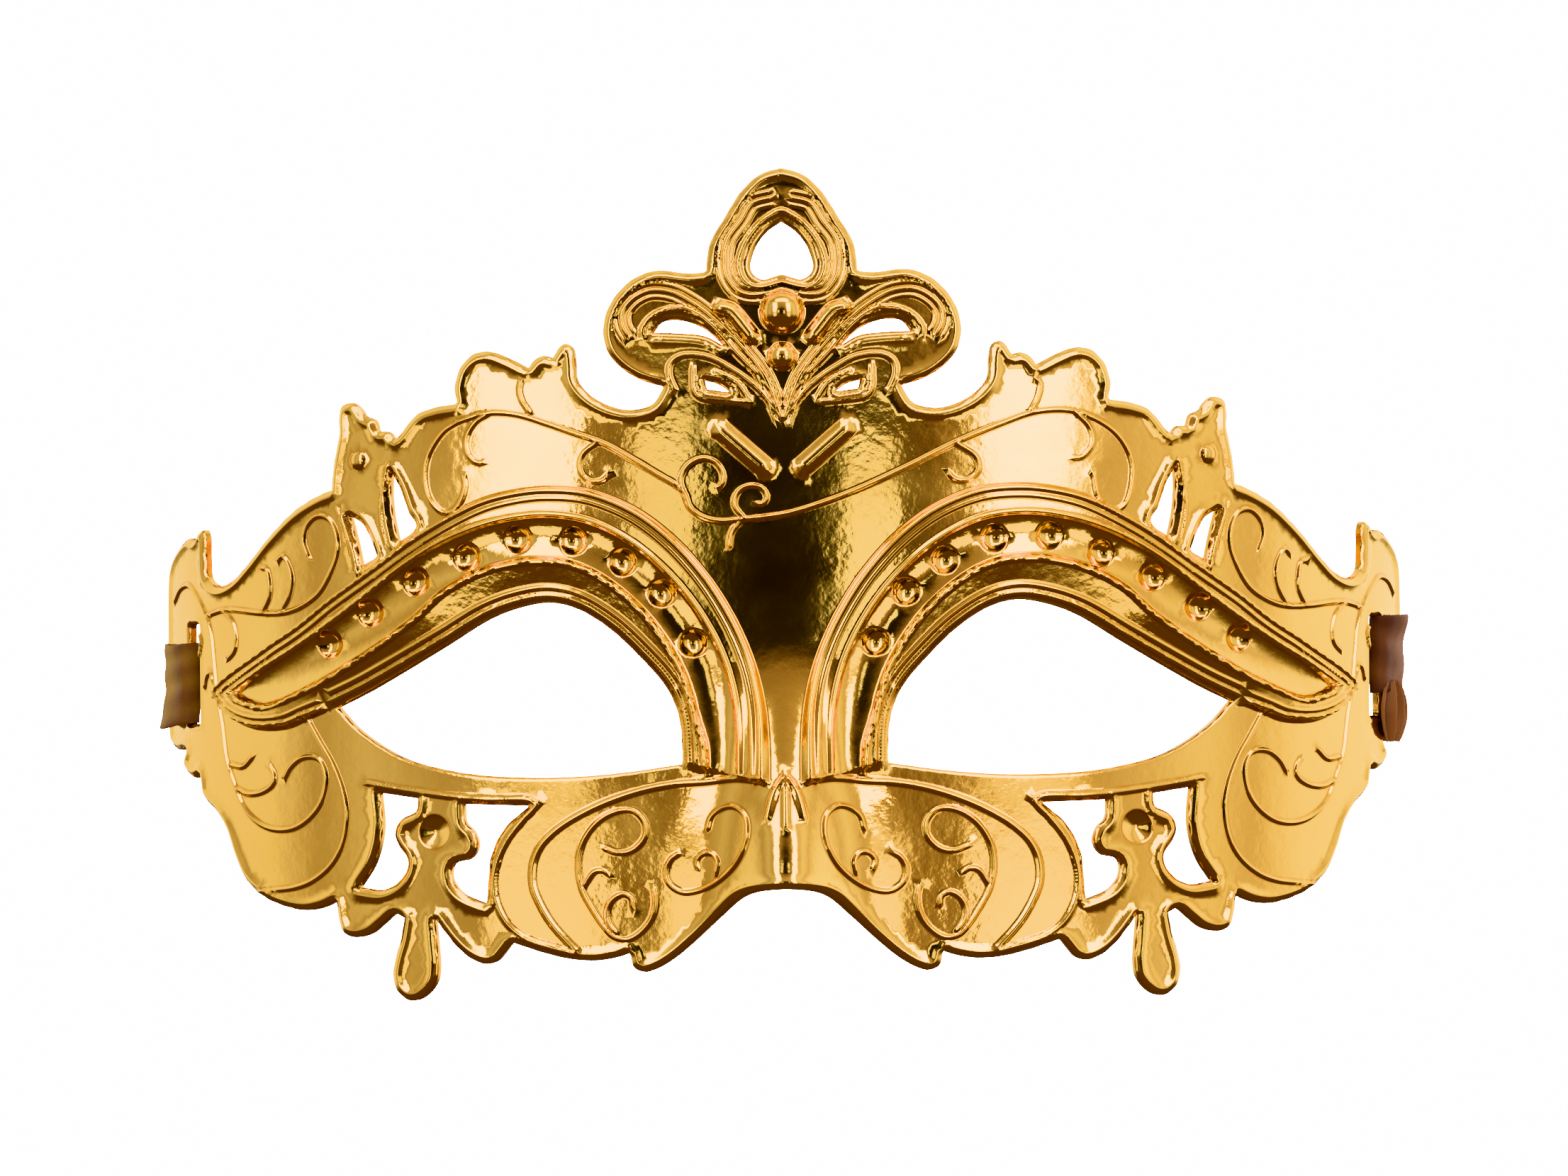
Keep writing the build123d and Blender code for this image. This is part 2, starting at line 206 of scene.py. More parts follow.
# Openings of the right half; the heart is closed by its own mirror image
openings = {
    "eye": [[(61.1, -1.2), (58.1, -4.4), (52.1, -8.2), (46.0, -9.9), (40.0, -10.7), (30.1, -10.9),
        (21.9, -10.3), (14.0, -9.2)],
            [(14.0, -9.2), (14.4, -3.1), (16.0, 1.0), (20.0, 5.7), (24.0, 9.4), (28.3, 12.0), (32.0, 12.8),
                (36.0, 12.2), (40.1, 10.7), (46.1, 7.1), (52.2, 3.5), (57.0, 0.8), (61.1, -1.2)]],
    "crescent": [[(17.6, 49.5), (16.4, 50.9), (14.8, 51.2), (12.8, 50.9), (10.4, 49.8), (8.0, 47.6)],
                 [(8.0, 47.6), (10.4, 48.9), (13.2, 49.3), (17.6, 49.5)]],
    "chink": [[(10.6, 42.9), (8.8, 42.4), (7.2, 41.3)], [(7.2, 41.3), (10.4, 41.7)], [(10.4, 41.7),
        (10.6, 42.9)]],
    "finialGap": [[(53.5, 30.8), (52.2, 28.2), (51.2, 25.3), (50.2, 23.3), (52.6, 21.2)],
                  [(52.6, 21.2), (53.3, 24.5), (53.6, 27.8), (53.5, 30.8)]],
    "wingGap": [[(59.3, 24.9), (57.6, 23.8), (56.3, 21.4), (55.6, 19.3)], [(55.6, 19.3), (57.7, 18.0)],
                [(57.7, 18.0), (58.4, 21.4), (59.3, 24.9)]],
    "cheekGap": [[(55.4, -12.9), (50.2, -13.7)],
                 [(50.2, -13.7), (50.5, -15.4), (52.6, -16.6), (53.4, -18.6), (52.8, -20.2), (51.6, -22.3),
                     (52.6, -24.7), (55.0, -26.1), (58.3, -25.8)],
                 [(58.3, -25.8), (56.2, -22.4), (55.1, -17.9), (55.4, -12.9)]],
    "noseGap": [[(43.9, -14.5), (35.0, -14.8)],
                [(35.0, -14.8), (38.2, -17.6), (40.2, -21.4), (40.7, -25.6), (40.9, -28.1)],
                [(40.9, -28.1), (44.2, -26.6), (45.6, -24.6), (45.3, -22.6), (43.0, -21.9), (42.0, -20.2),
                    (42.6, -18.2), (43.7, -17.0), (43.9, -14.5)]],
}
heart = [(0, 64.5), (1.9, 63.2), (3.3, 61.5), (4.0, 59.8), (4.3, 58.4), (3.8, 57.2), (2.6, 56.6), (1.3, 56.9),
    (0, 57.3)]
slot = {"angle": 70.8, "width": 3.2, "height": 13.6, "middle": 3.4}

# Raised curves of the moulding, as distance from the middle and height
browBand = {
    "rise": 1.1, "coveTop": 1.5, "eyeRise": 0.1, "channelDepth": 0.75, "lip": 1.0, "secondLip": 2.1,
    "outerGap": 1.1,
    "outer": [(2.0, -11.8), (2.1, -7), (2.5, -2), (3.6, 3), (5.5, 8), (8, 12.7), (11, 17), (15, 21.3),
        (20, 25), (26, 27.4), (31, 27.9), (35, 27.6), (40, 26.4), (45, 24), (50, 20.9), (55, 17.2),
        (61, 12.8), (65, 9.5), (70, 6), (76.5, 0.6), (76.2, -0.8), (74, -3), (72, -3.9), (70, -4.2),
        (67, -3.9), (64.5, -2.8), (62, -1.7)],
    "upper": [(4.9, -11), (5.2, -5), (6, 0), (8, 6), (11, 11.5), (15, 16.5), (20, 20.8), (26, 23.8),
        (31, 24.6), (35, 24.4), (40, 23.3), (45, 21.3), (50, 18.3), (60, 10.5), (66, 6.2), (70, 3.6),
        (74.2, 0.4)],
    "lower": [(9.7, -10.8), (10, -7), (11.3, -3), (13, 2.5), (16, 8), (20, 12.8), (25, 16.5), (29, 18),
        (33, 18.3), (36, 18), (40, 16.9), (45, 14.3), (50, 9.8), (60, 2.9), (65, 0.2), (68, -1.2), (70, -1.6),
        (73.5, -0.4), (74.2, 0.4)],
    "dimples": [(61.1, 6.9), (55.6, 11.2), (49.4, 15.4), (42.5, 18.7), (35.6, 21.2), (28.1, 21), (21.4, 18.1),
        (16.1, 13.9), (11.8, 7.1)],
    "outerSize": (0.5, 0.5), "upperSize": (0.45, 0.45), "lowerSize": (0.5, 0.45), "lipSize": (0.38, 0.3),
    "secondLipSize": (0.38, 0.35), "innerSize": (0.35, 0.25), "dimpleRadius": 1.95, "dimpleDepth": 1.15,
    "milledFrom": 52.0, "milling": 0.75,
}
crestWork = {
    "heartRidge": [(1.4, 67.6), (4, 66.8), (5.5, 64.5), (7.3, 62), (7.8, 59.5), (7.5, 57), (6.3, 55.2),
        (5, 54.5), (3, 54.4), (0, 55.2)],
    "heartInner": [(0, 65.9), (2.6, 64.5), (4.7, 62), (5.7, 59.8), (5.8, 58), (5.0, 56.2), (3.2, 55.4),
        (0, 56.1)],
    "bigArm": [(0, 37.8), (2.3, 43.5), (5.5, 47.6), (9, 51), (12, 53.3), (15, 54.8), (18, 55), (20.3, 53.8),
        (21.6, 52), (21.5, 50.2), (20.8, 48.9)],
    "crescentFrame": [(1, 41), (3, 43.5), (6, 46.5), (9.5, 50.4), (12.5, 52.4), (15.5, 52.5), (17.6, 51.5),
        (18.8, 50), (19, 48.8)],
    "secondArm": [(0, 38), (3.5, 42), (7, 44.5), (10, 46), (13.5, 46.2), (15, 45.2), (15.2, 43.5),
        (14.3, 41.3)],
    "chinkFrame": [(12, 44.2), (11.9, 41.6), (11.2, 40.6), (5, 39.8)],
    "chinkTop": [(9, 44), (6, 42.5), (4.5, 40.5)],
}
drops = {"leaf": ([(8.2, 52.6), (6.9, 52.2), (5.2, 50.3), (4.0, 48.8)], 1.15, 1.2),
         "bar": ([(8.2, 36.1), (2.4, 31.1)], 1.35, 1.1)}
beads = {"big": (0, 52.2, 2.9), "small": (0, 46.1, 1.85)}
forehead = {
    "left": {
        "stem": [(44, 37.2), (40, 38.4), (36, 38.2), (32, 37), (28, 35.6), (24, 34.2), (20, 32), (17, 30.2),
            (13.3, 27.8), (12.3, 25.5), (10.5, 24.2), (8.2, 23.7), (5.5, 23.9), (2, 24.3), (-1, 24.7)],
        "endOval": [(44, 37.2), (46, 35.8), (48, 32.5), (48.4, 29.5), (47.8, 26.8), (46.2, 25), (44.8, 24.9),
            (43.5, 26.4), (42.9, 28.3), (43, 29.7)],
        "innerCurl": [(40, 38.2), (41.5, 37.2), (42.6, 35.5), (42.8, 33.8), (42.2, 32.3), (41, 31.6),
            (40.1, 31.8)],
        "hook": [(34.2, 38.5), (35.2, 40), (35.6, 41.5), (35.4, 42.6)],
        "middleCurl": [(25.3, 34.2), (26.8, 33), (27.4, 31.5), (27, 30), (25.8, 29.1), (24.3, 29.2),
            (23.3, 30)],
        "bigCurl": [(13.4, 27.8), (13.6, 29.5), (12.6, 31.3), (10.8, 32.2), (9, 31.8), (7.9, 30.3),
            (7.9, 28.9), (8.3, 28.4)],
        "centreCurl": [(5.2, 24.3), (6.3, 26), (5.8, 27.7), (4.3, 28.5), (2.6, 28.2), (1.9, 27), (2.5, 26),
            (3.4, 26.2)],
        "tail": [(5.6, 23.6), (6.7, 22), (6.9, 20)],
    },
    "right": {
        "stem": [(-3.2, 24), (1.9, 25), (9.4, 27.6), (16.9, 31), (23.5, 34.3), (29.9, 37), (34.6, 38.6),
            (39.1, 38.8), (42.8, 37.6), (45.8, 35.4), (47.6, 32.1), (47.6, 28.4), (46.6, 25.8), (45, 25.2),
            (43.2, 26.9), (42.5, 29.9)],
        "middleCurl": [(23.9, 34.3), (26.5, 32.5), (26.9, 30.7), (25.4, 29.3), (23.5, 29.5), (22.6, 30.5)],
        "innerCurl": [(39.9, 38.6), (41.9, 36.6), (42.3, 34.3), (40.9, 32.5), (39.5, 32.3)],
        "hook": [(34, 38.8), (34.8, 40.3), (35.2, 42.5), (34.6, 42.9)],
    },
}
wingWork = {
    "upperLine": [(78.5, 10.8), (76, 11.6), (74.5, 11.6), (71, 11.2), (68, 11.2), (65.5, 12), (63, 13.8),
        (61.4, 16.5), (60.4, 19.5), (60.6, 22.3), (61.8, 24.2), (63.2, 24.4), (64.6, 23), (65, 21),
        (64.3, 18.8)],
    "outerStem": [(70.6, 11.4), (69.7, 13.5), (69.7, 15.5), (70.2, 17.3), (71, 17.3)],
    "innerStem": [(68, 11.5), (67, 13.5), (66.6, 15.8), (67.2, 18), (68, 19), (68.5, 18.3)],
    "hook": [(76, 11.4), (74.8, 10), (74.3, 8), (74.5, 6), (75.5, 4.8)],
    "arch": [(82.8, 12.8), (82, 14.5), (81, 15), (79.8, 13.5), (78.5, 11), (77.8, 8.5), (77.4, 5), (76.9, 0),
        (76.2, -4), (75.5, -9), (74.3, -12.5), (73, -15.5), (70.5, -17.8), (68, -18.4), (65.5, -17.8),
        (63, -15.5), (62, -13), (61.9, -10.5), (63, -8.6), (65, -8.5), (66.6, -9.7), (67.6, -11.5)],
    "topCurl": [(80.8, 6.5), (80.2, 8.3), (79.3, 8), (79.3, 5.8), (79.7, 4.6)],
    "lowCurl": [(78.6, 1), (78.3, 2.6), (77.9, 3.1), (77.5, 1.8)],
    "cheekCurl": [(74.9, -9.5), (73.3, -9.8), (71.8, -8.3)],
    "cheekHook": [(74, -12.8), (72.5, -13.5), (70.5, -13.2), (69, -12), (69, -10.7), (69.7, -9.5)],
    "cheekBorder": [(64.7, -2.6), (62.5, -6.5), (60.8, -9.5), (59.5, -13), (59, -16), (59.5, -20), (61, -23),
        (63.5, -25.2), (66, -26.2), (69, -26.6), (71, -26.8)],
    "finialFrame": [(53.5, 31.5), (53.9, 29), (54.3, 26), (54.2, 23), (53.5, 20.3)],
    "finialEdge": [(60.3, 25.3), (59, 22), (58, 19), (57.6, 16.5)],
}
noseWork = {
    "lowerLid": [(56, -12), (50, -13), (45, -13.7), (40, -14.1), (34, -14.2), (33, -14.9)],
    "innerBorder": [(2.2, -11.7), (6, -11.3), (10, -11.7), (14, -12), (18, -12.7), (22, -13.9), (26, -15.6),
        (30, -18), (32.5, -20.5), (33.5, -23), (33.5, -26), (32.5, -28.5), (31, -31), (29, -33.3),
        (27.4, -34.9)],
    "outerBorder": [(32.8, -14.7), (35, -17), (37.5, -20.5), (38.8, -24.5), (38.5, -28), (37, -31),
        (34.5, -33), (31, -34.2), (28, -35)],
    "noseScroll": [(9.8, -18.2), (9.3, -16.5), (7.8, -15.3), (6.2, -15.1), (4.8, -16.2), (4.4, -18.2),
        (4.9, -20.8), (6.3, -23.3), (8.5, -25.3), (11, -26.5), (13.3, -26.7), (15, -25.6), (15.5, -24),
        (14.8, -22.2), (13.7, -21.5)],
    "noseSpiral": [(8.6, -24.2), (8.4, -22.5), (9.3, -21.4), (10.6, -21.6), (11.3, -22.7), (11, -23.5)],
    "cheekScroll": [(23.8, -20.8), (22, -21.4), (20, -21), (18.4, -19.3), (18.3, -17.5), (19.7, -15.8),
        (22, -15.7), (24.8, -17.2), (26.8, -20), (27.4, -23), (26.9, -26.3), (25.5, -29), (23.8, -31.5),
        (22.5, -32.8), (20.5, -33.1), (18.5, -31.8), (17.2, -29.8), (16.9, -27.5), (17.1, -26.3)],
    "cheekCurl": [(26.5, -25.7), (25.3, -24), (24, -23.8), (23, -24.5)],
    "lowSpiral": [(20, -28.8), (20.2, -27.5), (21.4, -27), (22.8, -27.8), (23.5, -29.5), (23.2, -31),
        (22.3, -32.2)],
}
noseMotif = {"centre": [(0, -10.6), (0, -18.0)], "side": [(0.4, -11.4), (1.5, -13.2), (2.5, -16.8)],
             "size": (0.45, 0.5)}
finialEye = {"place": (57.6, 32.0), "radius": 1.2, "height": 0.5}
splashEye = {"place": (47.0, -18.6), "radius": 2.3, "depth": 1.0}

# Spacing of mesh points along ridges and edges and on plain wall, and how near two may come
meshing = {"fineStep": 0.46, "plainStep": 1.0, "edgeRows": (0.1, 0.3, 0.55, 0.8, 1.15, 1.5), "edgeGap": 0.09,
           "ridgeGap": 0.1, "roundGap": 0.14, "rimGap": 0.06, "cellSize": 0.3, "mergeWithin": 1e-5,
           "leastArea": 1e-10, "low": -44.0, "high": 74.0, "widestAngle": 1.42, "rowShare": 0.87,
           "rimSpacing": 0.04, "reliefSpacing": 0.12, "roundShares": (0.25, 0.5, 0.75, 0.93, 1.0, 1.15),
           "roundStep": 0.4}
# Half width and height of the plain ridges
scroll = (0.34, 0.4)
border = (0.45, 0.45)


def closedLoop(runs):
    samples = [curveThrough(run)[:-1] for run in runs]
    return np.concatenate(samples)


def evenLoop(loop, spacing):
    ring = np.concatenate([loop, loop[:1]])
    along = np.concatenate([[0.0], np.cumsum(np.linalg.norm(np.diff(ring, axis=0), axis=1))])
    even = np.linspace(0, along[-1], max(8, int(round(along[-1] / spacing))), endpoint=False)
    return np.stack([np.interp(even, along, ring[:, 0]), np.interp(even, along, ring[:, 1])], axis=1)


# Every edge of the moulding, unrolled
rightOutline = np.concatenate([fromFront(curveThrough(run)) for run in outline.values()]
                              + [fromSide(curveThrough(run)) for run in wingEnd]
                              + [fromFront(curveThrough(run)) for run in outlineBelow.values()])
wholeOutline = np.concatenate([rightOutline, mirrored(rightOutline)[::-1]])
edges = [("outline", wholeOutline)]
for name, runs in openings.items():
    loop = fromFront(closedLoop(runs))
    edges.append((name, loop))
    edges.append((name, mirrored(loop)))
heartHalf = fromFront(curveThrough(heart))
edges.append(("heart", np.concatenate([heartHalf, mirrored(heartHalf)[::-1]])))
slotRun = float(unrolled(math.radians(slot["angle"])))
slotLow, slotHigh = slot["middle"] - slot["height"] / 2, slot["middle"] + slot["height"] / 2
slotNear, slotFar = slotRun - slot["width"] / 2, slotRun + slot["width"] / 2
slotCorners = [(slotNear, slotLow), (slotFar, slotLow), (slotFar, slotHigh), (slotNear, slotHigh)]
slotLoop = closedLoop(zip(slotCorners, slotCorners[1:] + slotCorners[:1]))
edges += [("slot", slotLoop), ("slot", mirrored(slotLoop))]
edges = [(name, evenLoop(loop, meshing["fineStep"])) for name, loop in edges]
print("edges", len(edges), "points", sum(len(loop) for name, loop in edges))

# Every ridge, as samples of its line with its half width, height and milling
ridges = []


def addRidge(samples, halfWidth, height, milledFrom=None):
    ridges.append({"line": samples, "halfWidth": halfWidth, "height": height, "milledFrom": milledFrom})


def bothSides(points, halfWidth, height, milledFrom=None):
    run = fromFront(curveThrough(squareUp(points)))
    addRidge(run, halfWidth, height, milledFrom)
    addRidge(mirrored(run), halfWidth, height, milledFrom)
    return run


# The line moved sideways, to the left of the way it runs
def beside(line, gap):
    along = np.gradient(line, axis=0)
    along /= np.linalg.norm(along, axis=1, keepdims=True) + 1e-9
    return line + np.stack([-along[:, 1], along[:, 0]], axis=1) * gap


def onBothSides(line, size):
    addRidge(line, *size)
    addRidge(mirrored(line), *size)


browOuter = bothSides(browBand["outer"], *browBand["outerSize"], browBand["milledFrom"])
browUpper = bothSides(browBand["upper"], *browBand["upperSize"], browBand["milledFrom"])
browLower = bothSides(browBand["lower"], *browBand["lowerSize"], browBand["milledFrom"])
eyeUpper = fromFront(curveThrough(openings["eye"][1]))
onBothSides(beside(eyeUpper, browBand["lip"]), browBand["lipSize"])
onBothSides(beside(eyeUpper, browBand["secondLip"]), browBand["secondLipSize"])
onBothSides(beside(browOuter, -browBand["outerGap"]), browBand["innerSize"])
crestSizes = {"main": (0.42, 0.45), "beside": (0.32, 0.28), "fine": (0.42, 0.4), "gap": 0.9}
for name in ("heartRidge", "bigArm"):
    run = bothSides(crestWork[name], *crestSizes["main"])
    for gap in (-crestSizes["gap"], crestSizes["gap"]):
        onBothSides(beside(run, gap), crestSizes["beside"])
for name in ("heartInner", "crescentFrame", "secondArm", "chinkFrame", "chinkTop"):
    bothSides(crestWork[name], *crestSizes["fine"])
for points, halfWidth, high in drops.values():
    bothSides(points, halfWidth, high)
for side, sign in (("left", 1), ("right", -1)):
    for points in forehead[side].values():
        run = fromFront(curveThrough(squareUp(points, side=sign)))
        addRidge(mirrored(run) if side == "left" else run, *scroll)
for points in wingWork.values():
    bothSides(points, *scroll)
for name, points in noseWork.items():
    bothSides(points, *(border if "order" in name or name == "lowerLid" else scroll))
for name in ("centre", "side"):
    onBothSides(fromFront(curveThrough(noseMotif[name])), noseMotif["size"])
print("ridges", len(ridges))


# Round details, as unrolled centre, radius and height (negative for a dimple)
def unrolledPlace(place, square=True):
    points = squareUp([place]) if square else np.array([place], float)
    return fromFront(points)[0]


rounds = []
for place in browBand["dimples"]:
    centre = unrolledPlace(place)
    for side in (1, -1):
        spot = centre * np.array([side, 1])
        rounds.append((spot, browBand["dimpleRadius"], -browBand["dimpleDepth"], "bowl"))
for x, z, radius in beads.values():
    rounds.append((unrolledPlace((x, z), square=False), radius, radius * 0.9, "dome"))
for side in (1, -1):
    eyes = ((finialEye, finialEye["height"], "dome"), (splashEye, -splashEye["depth"], "cone"))
    for eye, high, kind in eyes:
        rounds.append((unrolledPlace(eye["place"]) * np.array([side, 1]), eye["radius"], high, kind))

# Points of the mesh, closest together along edges and ridges
cells = {}
meshPoints = []


def cellOf(u, z):
    return int(math.floor(u / meshing["cellSize"])), int(math.floor(z / meshing["cellSize"]))


def keepPoint(u, z):
    cells.setdefault(cellOf(u, z), []).append((u, z))
    meshPoints.append((u, z))


def addPoint(u, z, gap):
    column, row = cellOf(u, z)
    reach = int(gap / meshing["cellSize"]) + 1
    for c in range(column - reach, column + reach + 1):
        for r in range(row - reach, row + reach + 1):
            for other in cells.get((c, r), ()):
                if (other[0] - u) ** 2 + (other[1] - z) ** 2 < gap * gap:
                    return
    keepPoint(u, z)


boundaryPairs = []
for name, loop in edges:
    first = len(meshPoints)
    for u, z in loop:
        keepPoint(u, z)
    last = len(meshPoints)
    boundaryPairs += [(i, i + 1 if i + 1 < last else first) for i in range(first, last)]
edgePoints = list(meshPoints)
loopEdges = np.array([(*meshPoints[a], *meshPoints[b]) for a, b in boundaryPairs])


# True for the points inside closed outlines: an odd count of their sides lies to one side
def insideOf(sideEnds, points):
    inside = np.zeros(len(points), bool)
    low, high = np.minimum(sideEnds[:, 1], sideEnds[:, 3]), np.maximum(sideEnds[:, 1], sideEnds[:, 3])
    rows = np.floor(points[:, 1]).astype(int)
    for row in range(rows.min(), rows.max() + 1):
        chosen = np.flatnonzero(rows == row)
        near = sideEnds[(low <= row + 1) & (high >= row)]
        if not len(chosen) or not len(near):
            continue
        u, z = points[chosen, 0][:, None], points[chosen, 1][:, None]
        spans = (near[:, 1] > z) != (near[:, 3] > z)
        rise = np.where(near[:, 3] == near[:, 1], 1.0, near[:, 3] - near[:, 1])
        crossing = near[:, 0] + (z - near[:, 1]) / rise * (near[:, 2] - near[:, 0])
        inside[chosen] = (np.sum(spans & (crossing > u), axis=1) % 2) == 1
    return inside


def insideWall(points):
    return insideOf(loopEdges, points)


def insidePolygon(polygon, points):
    return insideOf(np.hstack([polygon, np.roll(polygon, -1, axis=0)]), points)


# Distance of each point from a line, and which sample of the line is nearest
def nearestOn(samples, points, reach):
    distance, which = np.full(len(points), 99.0), np.zeros(len(points), int)
    tree = kdtree.KDTree(len(samples))
    for i, (u, z) in enumerate(samples):
        tree.insert((u, z, 0), i)
    tree.balance()
    low, high = samples.min(axis=0) - reach, samples.max(axis=0) + reach
    close = np.flatnonzero(np.all((points > low) & (points < high), axis=1))
    for i in close:
        place, index, far = tree.find((points[i, 0], points[i, 1], 0))
        distance[i], which[i] = far, index
    return distance, which


extra = []
for name, loop in edges:
    fine = evenLoop(loop, meshing["fineStep"])
    ring = np.concatenate([fine, fine[:1]])
    for gap in meshing["edgeRows"]:
        extra += [(p, meshing["edgeGap"]) for p in np.concatenate([beside(ring, gap), beside(ring, -gap)])]
for ridge in ridges:
    line = ridge["line"]
    step = int(round(meshing["fineStep"] / lineSpacing))
    picked = line[::step] if len(line) > step * 2 else line
    half = ridge["halfWidth"]
    for off in (0, 0.5 * half, 0.97 * half, half + 0.12, half + 0.34):
        extra += [(p, meshing["ridgeGap"]) for sign in (1, -1) for p in beside(picked, sign * off)]
for centre, radius, _, _ in rounds:
    extra.append((centre, meshing["ridgeGap"]))
    for share in meshing["roundShares"]:
        count = max(10, int(2 * math.pi * radius * share / meshing["roundStep"]))
        for k in range(count):
            turn = 2 * math.pi * k / count
            around = np.array([math.cos(turn), math.sin(turn)])
            extra.append((centre + radius * share * around, meshing["roundGap"]))
places = np.array([p for p, gap in extra])
kept = insideWall(places)
rimSamples = np.concatenate([evenLoop(loop, meshing["rimSpacing"]) for name, loop in edges])
rimTree = kdtree.KDTree(len(rimSamples))
for i, (u, z) in enumerate(rimSamples):
    rimTree.insert((u, z, 0), i)
rimTree.balance()
for (place, gap), good in zip(extra, kept):
    if good and rimTree.find((place[0], place[1], 0))[2] > meshing["rimGap"]:
        addPoint(place[0], place[1], gap)
widest, step = float(unrolled(meshing["widestAngle"])), meshing["plainStep"]
plain = []
row = 0
while meshing["low"] + row * step * meshing["rowShare"] < meshing["high"]:
    z = meshing["low"] + row * step * meshing["rowShare"]
    shift = step / 2 if row % 2 else 0
    plain += [(u + shift, z) for u in np.arange(-widest, widest, step)]
    row += 1
plain = np.array(plain)
for u, z in plain[insideWall(plain)]:
    addPoint(u, z, step * 0.6)
print("mesh points", len(meshPoints))


def triangulate(points):
    flat = [Vector(p) for p in points]
    made = geometry.delaunay_2d_cdt(flat, boundaryPairs, [], 0, meshing["mergeWithin"])
    verts = np.array([tuple(v) for v in made[0]])
    faces = np.array([tuple(f) for f in made[2] if len(f) == 3])
    middles = verts[faces].mean(axis=1)
    faces = faces[insideWall(middles)]
    a, b, c = verts[faces[:, 0]], verts[faces[:, 1]], verts[faces[:, 2]]
    area = (b[:, 0] - a[:, 0]) * (c[:, 1] - a[:, 1]) - (b[:, 1] - a[:, 1]) * (c[:, 0] - a[:, 0])
    faces[area < 0] = faces[area < 0][:, ::-1]
    keep = np.abs(area) > meshing["leastArea"]
    back = {}
    for new, olds in enumerate(made[3]):
        for old in olds:
            back[old] = new
    return verts, faces[keep], back


frontVerts, frontFaces, frontOf = triangulate(meshPoints)
print("front triangles", len(frontFaces), "points", len(frontVerts))

# Each kind of edge: how far its rounding reaches, then the place, half width and height of its ridge
edgeStyle = {
    "outline": (0.45, 0.95, 0.45, 0.35), "eye": (0.35, 0.0, 0.0, 0.0), "crescent": (0.7, 1.15, 0.35, 0.3),
    "chink": (0.45, 0.85, 0.35, 0.3), "finialGap": (0.45, 0.95, 0.42, 0.35),
    "wingGap": (0.45, 0.95, 0.42, 0.35), "cheekGap": (0.5, 0.95, 0.45, 0.35),
    "noseGap": (0.5, 0.95, 0.45, 0.35), "heart": (0.9, 1.45, 0.4, 0.35), "slot": (0.35, 0.6, 0.3, 0.15),
}
rounding = {"depth": 0.6, "ridgePower": 0.8, "bandFoot": 0.6, "bowlPower": 2.2, "hollowPower": 0.85}
creviceShadeBand = {"rim": 0.32, "foot": 0.07, "reach": 0.24, "round": 0.3}    # where the painted amber shade gathers
